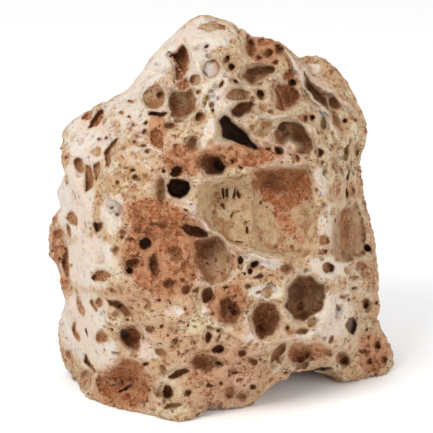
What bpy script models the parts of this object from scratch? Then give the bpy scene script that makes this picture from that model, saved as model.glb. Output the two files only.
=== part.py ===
"""Decorative landscape rock: one block of pitted honeycomb limestone that stands on its flat broken base.

The block is a union of convex lumps. Its front is laid out as it looks from VIEWPOINT: a place there is
given across and up, in millimetres, on the upright plane of view through AIM, and a third number is its
depth, the world Y in millimetres. Pits are then cut where the sight line through such a place meets the
stone. The sides that can't be seen from there get scattered pits of the same kinds.
"""

import math
import random
from collections import namedtuple

import bmesh
import bpy
from mathutils import Matrix, Vector, noise
from mathutils.bvhtree import BVHTree

MM = 0.001

# The plane of view
VIEW_TILT = math.radians(18)
VIEW_DISTANCE = 1100 * MM
AIM = Vector((0, 0, 88 * MM))
VIEW_RIGHT = Vector((1, 0, 0))
VIEW_UP = Vector((0, math.sin(VIEW_TILT), math.cos(VIEW_TILT)))
TOWARDS_VIEWPOINT = Vector((0, -math.cos(VIEW_TILT), math.sin(VIEW_TILT)))
VIEWPOINT = AIM + TOWARDS_VIEWPOINT * VIEW_DISTANCE

# How fine the surface is
LUMP_VOXEL = 2.4 * MM
ROCK_VOXEL = 1.3 * MM
ROCK_TRIANGLES = 9400
SMOOTHING_PASSES = 5

# Unevenness of the broken faces: wavelength and height
WAVES = ((30 * MM, 2.6 * MM), (12 * MM, 1.7 * MM))

# How far a corner of a pit may move in or out, as a share of the radius
PIT_UNEVENNESS = 0.13

STONE_COLOUR = (0.66, 0.49, 0.35, 1)
STONE_ROUGHNESS = 0.85

# Corners of each convex lump: across, up, depth
LUMPS = {
    "crown": (
        (-16, 96, -6), (-10, 100, -2), (-2, 100.5, 0), (8, 100, 0), (14, 93, -4), (12, 78, -22), (-1, 71, -44),
        (-19, 78, -26), (-28, 84, -8), (-22, 89, -6), (-33, 79, -5), (-13, 98, 24), (10, 96, 24), (-32, 76, 26),
        (15, 78, 34),
        (-33, 53, -40), (14, 53, -50), (-30, 40, 40), (20, 40, 46),
    ),
    "ridge": (
        (16, 88, 0), (20, 90.5, 2), (29, 89.5, 4), (36, 87, 4), (42, 79, 0), (43, 66, -12), (42, 53, -36),
        (17, 78, -22), (12, 58, -48), (17, 89, 28), (38, 81, 28), (44, 68, 34), (46, 30, 40), (12, 30, 44),
    ),
    "shoulder": (
        (-78, 36, -2), (-75, 43.5, 0), (-68, 50.5, 4), (-59, 53, 4), (-53, 58, 0), (-43, 66, -4), (-34, 75, -6),
        (-33, 53, -42), (-53, 33, -38), (-73, 18, -22), (-74, 40, 30), (-53, 56, 34), (-34, 70, 34),
        (-40, 5, -52), (-72, 0, 34), (-30, 0, 48),
    ),
    "block": (
        (-81, 12, 0), (-79, -10, -2), (-76, -34, -2), (-78, -60, -2), (-73, -78, -4), (-54, 33, -42),
        (-51, 0, -54), (-54, -40, -56), (-60, -86, -30), (-33, 52, -42), (-33, 8, -59), (-20, -22, -64),
        (-21, -58, -65), (-8, 52, -53), (22, -64, -58), (42, -42, -54), (54, -12, -46), (56, 28, -40),
        (42, 53, -38), (60, -62, -36), (40, -73, -24), (57, -77, -16), (71, 14, 2), (73, -8, 4),
        (79, -24, 6), (82, -42, 8), (82, -58, 10), (66, 52, 4),
        (-66, -93, -21), (-54, -99, -33), (-33, -100, -41), (-19, -103, -52), (7, -98, -38), (14, -93, -26),
        (-74, -84, 10), (-68, -75, 36), (-25, -68, 58), (38, -68, 58), (76, -72, 46), (78, -82, 14),
        (-72, 30, 34), (-30, 50, 56), (30, 48, 58), (70, 36, 46), (75, -40, 50),
    ),
    "back lump": (
        (42, 78, 14), (46, 81, 20), (52, 82, 22), (57, 79, 22), (62.5, 72.5, 20), (66, 66, 16), (71, 59, 12),
        (74, 54, 8), (76, 47, 8), (76, 42, 8), (74, 34, 6), (72, 27, 6), (54, 61, -4), (62, 46, -14),
        (64, 33, -18), (47, 72, 46), (64, 58, 46), (71, 38, 44), (66, 10, 40), (40, 62, -2), (36, 50, -20),
    ),
    "left bulge": (
        (-80, 3, 6), (-83, -3, 8), (-84, -10, 10), (-83, -17, 10), (-81, -23, 10), (-79, -29, 8),
        (-75, -34, 4), (-76, -4, -4), (-75, -23, -6), (-79, 1, 34), (-81, -12, 36), (-77, -32, 32),
    ),
    "lower left": (
        (-78, -52, 2), (-79, -57, 2), (-78, -64, 2), (-76, -73, 0), (-74, -84, 0), (-71, -48, -16),
        (-68, -88, -16), (-76, -56, 30), (-70, -80, 32),
    ),
    "foot": (
        (67, -59, -8), (74, -51, -2), (84, -57, 6), (88, -64, 8), (89, -74, 12), (87, -82, 9), (73, -82, 4),
        (64, -81, -6), (61, -77, -16), (61, -69, -20), (67, -57, 38), (87, -62, 36), (88, -76, 34),
        (73, -85, 9), (85, -85, 12),
    ),
}

# The hollow under the front, at the right: its middle and its radii, world X, Y and Z
UNDERCUT_MIDDLE = Vector((43, -30, -2)) * MM
UNDERCUT_RADII = (25 * MM, 42 * MM, 17 * MM)
UNDERCUT_UNEVENNESS = 0.03

# A pit in the front: its middle across and up, its width, height and depth, and how far it is turned
Pit = namedtuple("Pit", "across up wide high deep turn")
FRONT_PITS = (
    # The broad recess in the middle: its left floor, its deeper upper right, and its lower right
    Pit(8, 5, 31, 27, 8, 0), Pit(33, 13, 31, 24, 13, 0), Pit(32, -6, 37, 31, 10, 20), Pit(15, -3, 36, 25, 8, 30),
    # Upper left
    Pit(-60, 49, 4, 13, 4, -40), Pit(-65, 50, 6, 4, 3, 0), Pit(-18, 77, 9, 19, 9, 5), Pit(-31, 60, 13, 14, 8, 0),
    Pit(-17, 57, 16, 17, 14, -15), Pit(-22, 61, 8, 8, 8, 0), Pit(-13, 66, 10, 6, 4, 0), Pit(-7, 52, 6, 6, 4, 0),
    Pit(-3, 83, 10, 11, 5, 0), Pit(-3, 73, 9, 11, 5, 0), Pit(-3, 95, 15, 5, 3, 0), Pit(-31, 53, 9, 3, 5, 20),
    # Upper right
    Pit(17, 77, 20, 12, 9, 0), Pit(19, 68, 13, 9, 10, 0), Pit(27, 81, 11, 8, 7, 0), Pit(27, 72, 9, 6, 6, 0),
    Pit(11, 61, 13, 8, 6, 0), Pit(12, 54, 12, 8, 11, -20), Pit(10, 42, 26, 11, 20, 38),
    Pit(35, 61, 14, 15, 13, 0), Pit(38, 68, 9, 8, 8, 0), Pit(25, 44, 8, 7, 6, 0), Pit(22, 58, 6, 9, 6, -20),
    Pit(39, 40, 21, 16, 11, 50), Pit(46, 50, 10, 6, 4, 0), Pit(55, 58, 7, 26, 4, 35), Pit(51, 74, 12, 8, 4, 0),
    Pit(31, 33, 6, 6, 5, 0), Pit(50, 32, 5, 6, 5, 0), Pit(60, 47, 6, 8, 5, 0), Pit(66, 65, 7, 9, 3, 20),
    # The middle of the front
    Pit(-12, 36, 8, 6, 6, -30), Pit(-2, 26, 13, 12, 14, 0), Pit(-19, 15, 14, 12, 20, 0),
    Pit(-28, 15, 5, 17, 5, 0), Pit(-21, 23, 8, 7, 8, 0), Pit(2, -20, 23, 21, 16, 40), Pit(-11, -7, 19, 7, 8, 15),
    Pit(-37, -15, 7, 8, 8, 0), Pit(-43, -24, 10, 11, 8, 0), Pit(-32, -26, 7, 13, 6, 0), Pit(-25, -4, 9, 8, 4, 0),
    # The right side
    Pit(66, -9, 20, 30, 13, -8), Pit(59, 13, 6, 14, 6, 0), Pit(66, 14, 6, 10, 8, 0), Pit(56, -26, 9, 7, 6, 0),
    Pit(53, -13, 5, 8, 5, 0), Pit(44, -41, 22, 24, 25, 0), Pit(24, -51, 15, 20, 14, 0), Pit(6, -49, 13, 11, 10, 0),
    Pit(35, -26, 8, 6, 5, 0), Pit(25, -33, 9, 9, 4, 0), Pit(68, -56, 6, 9, 10, 0), Pit(73, -44, 5, 6, 6, 0),
    Pit(13, -25, 5, 6, 5, 0), Pit(54, -60, 8, 6, 3, 0), Pit(14, -36, 8, 6, 5, 0),
    # Lower right
    Pit(41, -68, 12, 9, 7, 0), Pit(30, -68, 6, 15, 7, -28), Pit(64, -72, 9, 10, 8, 0), Pit(79, -68, 8, 9, 5, 0),
    # Lower middle
    Pit(-5, -40, 8, 10, 9, 0), Pit(-5, -73, 18, 9, 8, 0), Pit(3, -66, 8, 6, 7, -20), Pit(6, -88, 8, 7, 6, 0),
    Pit(-19, -79, 13, 5, 6, -18), Pit(-25, -88, 7, 8, 8, 0), Pit(-43, -61, 13, 13, 10, 0), Pit(-22, -58, 9, 7, 4, 0),
    Pit(-47, -85, 26, 19, 9, -20), Pit(-48, -45, 15, 6, 6, 25), Pit(-25, -45, 7, 6, 4, 0), Pit(16, -76, 7, 6, 5, 0),
    # The left face
    Pit(-64, 20, 5, 13, 6, 0), Pit(-55, 29, 6, 13, 6, -25), Pit(-68, 26, 6, 9, 5, 0), Pit(-72, 0, 7, 11, 6, 0),
    Pit(-59, -5, 7, 6, 6, 0), Pit(-76, -17, 5, 16, 6, 5), Pit(-58, -29, 12, 8, 8, 0), Pit(-59, 24, 4, 9, 5, 0),
    Pit(-70, -58, 4, 11, 5, 0), Pit(-64, -82, 5, 11, 5, 25), Pit(-65, -73, 5, 12, 4, 30), Pit(-57, -61, 9, 8, 5, 0),
    Pit(-57, -43, 5, 6, 4, 0), Pit(-64, -44, 3, 8, 4, 20), Pit(-68, -46, 3, 12, 4, 0), Pit(-56, 41, 4, 9, 4, 30),
)

# Pits on the other sides: how many, their range of radii, and their depth as a share of the radius
SEED = 41
SCATTERED_PITS = ((12, (8.5, 13.0), (0.7, 1.0)), (42, (5.0, 8.0), (0.8, 1.4)), (80, (2.8, 4.6), (0.9, 1.6)))
# Their length and their width, as shares of the radius
PIT_LENGTHS = (0.9, 1.4)
PIT_WIDTHS = (0.6, 1.0)
# Two pits lie at least this share of their radii apart
PIT_SPACING = 0.85
FRONT_FACING = 0.45
LOWEST_PIT = 12 * MM
MOST_TRIES = 400

# Points closer to the ground than this are on it
ON_THE_GROUND = 0.001 * MM


def clear_scene():
    for obj in list(bpy.data.objects):
        bpy.data.objects.remove(obj)


def sight_line(across, up):
    """The direction from the viewpoint through a place on the plane of view."""
    place = AIM + (VIEW_RIGHT * across + VIEW_UP * up) * MM
    return (place - VIEWPOINT).normalized()


def seen_at(across, up, depth):
    """The point at a world Y of depth millimetres that is seen at that place."""
    line = sight_line(across, up)
    return VIEWPOINT + line * ((depth * MM - VIEWPOINT.y) / line.y)


def new_object(name, mesh):
    obj = bpy.data.objects.new(name, mesh)
    bpy.context.scene.collection.objects.link(obj)
    return obj


def evaluated_mesh(obj):
    """A new mesh with the object's modifiers applied."""
    graph = bpy.context.evaluated_depsgraph_get()
    return bpy.data.meshes.new_from_object(obj.evaluated_get(graph))


def add_remesh(obj, voxel):
    remesh = obj.modifiers.new("Voxels", "REMESH")
    remesh.mode = "VOXEL"
    remesh.voxel_size = voxel


def add_difference(obj, cutter):
    cut = obj.modifiers.new("Cut", "BOOLEAN")
    cut.operation = "DIFFERENCE"
    cut.solver = "EXACT"
    cut.use_self = True
    cut.object = cutter
    cutter.hide_render = True
    cutter.display_type = "WIRE"


def lumps_mesh():
    """All the lumps in one mesh, each the convex hull of its corners."""
    shape = bmesh.new()
    for corners in LUMPS.values():
        lump = [shape.verts.new(seen_at(*corner)) for corner in corners]
        hull = bmesh.ops.convex_hull(shape, input=lump)
        inner = [v for v in hull["geom_interior"] if isinstance(v, bmesh.types.BMVert)]
        bmesh.ops.delete(shape, geom=inner, context="VERTS")
    bmesh.ops.recalc_face_normals(shape, faces=shape.faces)
    mesh = bpy.data.meshes.new("lumps")
    shape.to_mesh(mesh)
    shape.free()
    return mesh


def make_block():
    """The lumps grown into one block, with rounded edges and uneven faces."""
    block = new_object("block", lumps_mesh())
    add_remesh(block, LUMP_VOXEL)
    smooth = block.modifiers.new("Rounded edges", "SMOOTH")
    smooth.iterations = SMOOTHING_PASSES
    mesh = evaluated_mesh(block)
    bpy.data.objects.remove(block)
    normals = [v.normal.copy() for v in mesh.vertices]
    for vertex, normal in zip(mesh.vertices, normals):
        for length, height in WAVES:
            vertex.co += normal * height * noise.noise(vertex.co / length)
    return mesh


def add_pit(shape, centre, inwards, across, size, rng):
    """Adds an uneven ellipsoid to shape. Its own X lies along across, and its Z goes into the stone."""
    z = inwards.normalized()
    y = z.cross(across).normalized()
    x = y.cross(z)
    turned = Matrix((x, y, z)).transposed().to_4x4()
    placed = Matrix.Translation(centre) @ turned @ Matrix.Diagonal((*size, 1))
    ball = bmesh.ops.create_icosphere(shape, subdivisions=2, radius=1)
    for vertex in ball["verts"]:
        vertex.co = placed @ (vertex.co * rng.uniform(1 - PIT_UNEVENNESS, 1 + PIT_UNEVENNESS))


def front_pits(shape, tree, rng):
    for pit in FRONT_PITS:
        line = sight_line(pit.across, pit.up)
        hit, normal, _, _ = tree.ray_cast(VIEWPOINT, line)
        if hit is None:
            continue
        inwards = (line - normal).normalized()
        turn = Matrix.Rotation(math.radians(pit.turn), 3, line)
        across = turn @ VIEW_RIGHT
        size = (pit.wide / 2 * MM, pit.high / 2 * MM, pit.deep * MM)
        add_pit(shape, hit, inwards, across, size, rng)


def add_undercut(shape, rng):
    ball = bmesh.ops.create_icosphere(shape, subdivisions=3, radius=1)
    for vertex in ball["verts"]:
        scaled = Vector([place * radius for place, radius in zip(vertex.co, UNDERCUT_RADII)])
        vertex.co = UNDERCUT_MIDDLE + scaled * rng.uniform(1 - UNDERCUT_UNEVENNESS, 1 + UNDERCUT_UNEVENNESS)


def scattered_pits(shape, tree, rng):
    """Pits on the sides that can't be seen from the front, none on top of another."""
    placed = []
    for count, radii, depths in SCATTERED_PITS:
        left, tries = count, 0
        while left and tries < MOST_TRIES:
            tries += 1
            out = Vector([rng.gauss(0, 1) for _ in range(3)]).normalized()
            hit, normal, _, _ = tree.ray_cast(AIM + out, -out)
            radius = rng.uniform(*radii) * MM
            if hit is None or hit.z < LOWEST_PIT or normal.dot(TOWARDS_VIEWPOINT) > FRONT_FACING:
                continue
            if any((hit - other).length < PIT_SPACING * (radius + reach) for other, reach in placed):
                continue
            placed.append((hit, radius))
            across = normal.orthogonal().normalized()
            across.rotate(Matrix.Rotation(rng.uniform(0, math.pi), 3, normal))
            size = [radius * rng.uniform(*share) for share in (PIT_LENGTHS, PIT_WIDTHS, depths)]
            add_pit(shape, hit, -normal, across, size, rng)
            left -= 1


def make_cutter(block):
    """Every pit, as one mesh of overlapping ellipsoids."""
    rng = random.Random(SEED)
    tree = BVHTree.FromPolygons([v.co for v in block.vertices], [p.vertices for p in block.polygons])
    shape = bmesh.new()
    front_pits(shape, tree, rng)
    scattered_pits(shape, tree, rng)
    add_undercut(shape, rng)
    mesh = bpy.data.meshes.new("pits")
    shape.to_mesh(mesh)
    shape.free()
    return new_object("pits", mesh)


def largest_piece(mesh):
    """Removes crumbs that the pits cut free."""
    shape = bmesh.new()
    shape.from_mesh(mesh)
    seen, pieces = set(), []
    for start in shape.verts:
        if start in seen:
            continue
        piece, todo = [], [start]
        seen.add(start)
        while todo:
            vertex = todo.pop()
            piece.append(vertex)
            for edge in vertex.link_edges:
                other = edge.other_vert(vertex)
                if other not in seen:
                    seen.add(other)
                    todo.append(other)
        pieces.append(piece)
    pieces.sort(key=len)
    crumbs = [vertex for piece in pieces[:-1] for vertex in piece]
    bmesh.ops.delete(shape, geom=crumbs, context="VERTS")
    shape.to_mesh(mesh)
    shape.free()


def cut_flat(mesh):
    """Cuts the stone off at the ground, and closes the cut with one flat face."""
    shape = bmesh.new()
    shape.from_mesh(mesh)
    everything = [*shape.verts, *shape.edges, *shape.faces]
    cut = bmesh.ops.bisect_plane(
        shape, geom=everything, plane_co=(0, 0, 0), plane_no=(0, 0, -1), clear_outer=True, dist=ON_THE_GROUND
    )
    rim = [e for e in cut["geom_cut"] if isinstance(e, bmesh.types.BMEdge)]
    bmesh.ops.triangle_fill(shape, edges=rim, use_beauty=True, normal=(0, 0, -1))
    bmesh.ops.recalc_face_normals(shape, faces=shape.faces)
    shape.to_mesh(mesh)
    shape.free()


def centre_on_base(mesh):
    """Moves the stone so that the origin is under the middle of its box, on the ground."""
    low = [min(v.co[axis] for v in mesh.vertices) for axis in range(2)]
    high = [max(v.co[axis] for v in mesh.vertices) for axis in range(2)]
    shift = Vector((-(low[0] + high[0]) / 2, -(low[1] + high[1]) / 2, 0))
    mesh.transform(Matrix.Translation(shift))


def stone_material():
    material = bpy.data.materials.new("stone")
    material.use_nodes = True
    surface = material.node_tree.nodes["Principled BSDF"]
    surface.inputs["Base Color"].default_value = STONE_COLOUR
    surface.inputs["Roughness"].default_value = STONE_ROUGHNESS
    surface.inputs["Metallic"].default_value = 0
    return material


def make_rock():
    block = make_block()
    cutter = make_cutter(block)
    rough = new_object("rough", block)
    add_difference(rough, cutter)
    add_remesh(rough, ROCK_VOXEL)
    mesh = evaluated_mesh(rough)
    bpy.data.objects.remove(rough)
    bpy.data.objects.remove(cutter)
    largest_piece(mesh)
    pitted = new_object("pitted", mesh)
    triangles = pitted.modifiers.new("Triangles", "TRIANGULATE")
    triangles.quad_method = "BEAUTY"
    fewer = pitted.modifiers.new("Fewer faces", "DECIMATE")
    fewer.ratio = ROCK_TRIANGLES / (2 * len(mesh.polygons))
    mesh = evaluated_mesh(pitted)
    bpy.data.objects.remove(pitted)
    cut_flat(mesh)
    centre_on_base(mesh)
    mesh.materials.clear()
    mesh.materials.append(stone_material())
    return new_object("rock", mesh)


def main():
    clear_scene()
    make_rock()


main()
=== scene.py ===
"""Looks of the decorative landscape rock: its carved surface, clay crumbs, stone, floor, light and camera.

The rock's solid is read from the frame into a grid of distances to its surface, in millimetres. The front is
then carved as a relief map seen from the camera, one cell for half a photo pixel, and every side gets pores.
Places on the front are photo pixels, x to the right and y down. Depths are millimetres into the stone.
"""
import math
from collections import namedtuple
from functools import cache

import bmesh
import bpy
import numpy as np
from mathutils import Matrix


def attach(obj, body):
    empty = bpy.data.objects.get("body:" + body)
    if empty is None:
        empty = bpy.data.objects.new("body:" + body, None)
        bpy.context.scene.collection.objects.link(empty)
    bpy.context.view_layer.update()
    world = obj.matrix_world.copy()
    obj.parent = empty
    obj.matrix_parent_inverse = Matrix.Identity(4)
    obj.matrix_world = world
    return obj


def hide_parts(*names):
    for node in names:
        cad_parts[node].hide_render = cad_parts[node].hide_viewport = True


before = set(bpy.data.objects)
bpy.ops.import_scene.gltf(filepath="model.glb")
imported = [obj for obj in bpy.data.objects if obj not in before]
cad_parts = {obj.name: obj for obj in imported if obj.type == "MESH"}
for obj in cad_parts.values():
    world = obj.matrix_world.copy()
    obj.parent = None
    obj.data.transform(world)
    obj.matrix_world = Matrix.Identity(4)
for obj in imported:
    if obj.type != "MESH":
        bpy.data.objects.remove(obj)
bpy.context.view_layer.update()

import openvdb
from mathutils import Vector
from mathutils.bvhtree import BVHTree

MM = 0.001
METRES_TO_MM = 1000

# The camera stands where the photo was taken
PHOTO_SIDE = 433
MM_PER_PIXEL = 0.5
VIEW_TILT = math.radians(18)
VIEW_DISTANCE = 1100
AIM = np.array((-3.38, 2.71, 88.0))
VIEW_RIGHT = np.array((1.0, 0.0, 0.0))
VIEW_UP = np.array((0.0, math.sin(VIEW_TILT), math.cos(VIEW_TILT)))
VIEW_FORWARD = np.array((0.0, math.cos(VIEW_TILT), -math.sin(VIEW_TILT)))
EYE = AIM - VIEW_FORWARD * VIEW_DISTANCE
SENSOR_WIDTH = 36

# The grid of distances
VOXEL = 0.6
BAND = 9.0
MARGIN = 6
FACET_BLUR = 1.3

# The relief map of the front
MAP_CELLS_PER_PIXEL = 2
MAP_SIDE = PHOTO_SIDE * MAP_CELLS_PER_PIXEL
NO_STONE = 1e4
# Half the width, in pixels, of the pits of the solid that are filled to their rims before the front is cut,
# and the same where a hollow is wider than that and deeper than SHALLOW_RECESS
RIM_FILL = 13
WIDE_FILL = 24
SHALLOW_RECESS = 10
# The blurs, in pixels, that carry the filled front on past its outline, and the least share of stone in them
EDGE_BLURS = (3.2, 7.0, 20.0)
LEAST_STONE = 0.02
# The front keeps the outline of the solid: a blur in pixels, and the shares of stone in it from there inwards
OUTLINE_BLUR = 2.5
OUTLINE_SHARES = (0.6, 0.9)
DEEPEST_HOLLOW = 28
TALLEST_RIDGE = 9
# The ground slopes down to a hollow from this many pixels round it, by this share of its depth up to a most
SKIRT = 7.0
SKIRT_SHARE = 0.38
SKIRT_MOST = 3.0
SKIRT_CURVE = 1.5
SKIRT_EDGE = (-SKIRT - 1, -SKIRT + 2)
# How many pixels in from the rim of a hollow its rust and its floor begin and are full
RUST_EDGE = (-1, 1.5)
FLOOR_EDGE = (-0.5, 2)
# Where patches, dips and ridges fade out, in shares of half their width, and how far a patch can reach
PATCH_EDGE = (0.5, 1.3)
PATCH_REACH = 0.75
DIP_EDGE = (0, 1.1)
DIP_WORKED = (0.9, 1.1)
RIDGE_WORKED = (0, 0.2)
# How many pixels round a form its part of the map takes in
WINDOW_MARGIN = 9
# Over how many pixels walls change from steep to soft
SOFTNESS_LENGTH = 10.0
# How far behind the floor of a hollow the stone is made solid
BEHIND_FLOOR = 8.0
# Heights between which the carving fades out, so that the base stays whole
BASE_KEPT = (1.5, 6.0)
# How many mm behind the rim of the front stone counts as another side, and where it is the front for sure
FRONT_DEPTHS = (24, 13)
# Rust and white on the sides that aren't shown: their wavelength, and the noise between which they set in
HIDDEN_RUST = (42.0, (-0.1, 0.5))
HIDDEN_WHITE = (38.0, (-0.15, 0.35))
# How rusty a hollow is where its floor is no longer smooth, and where it still is
RUSTY_FLOOR = (0.95, 0.8)

# The finished surface, in front and behind together
ROCK_TRIANGLES = 388000

# Colours, as the photo shows them
WHITE_SKIN = (229, 217, 203)
PINK_WHITE = (230, 208, 190)
GREY_WHITE = (212, 202, 196)
CREAM = (230, 210, 174)
TAN = (212, 176, 134)
PINK_TAN = (212, 166, 132)
DARK_TAN = (164, 118, 76)
SMOOTH_FLOOR = (208, 178, 138)
RUST = (176, 102, 56)
PALE_RUST = (206, 148, 106)
# Deep rust, which also stands in for painted shade in hollows and pores
DEEP_RUST_AND_SHADE = (120, 64, 34)
# Clay brown, which also stands in for painted shade in pits and hollows
CLAY_AND_SHADE = (176, 116, 70)
# Painted shade at the bottom of the darkest holes
PAINTED_HOLE_SHADE = (136, 110, 94)
OCHRE = (186, 166, 96)
FLOOR_COLOUR = (0.95, 0.95, 0.95, 1)
# The light makes the front this much brighter than its colours are, so they are divided by it
LIGHT_EXCESS = 1.36
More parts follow.
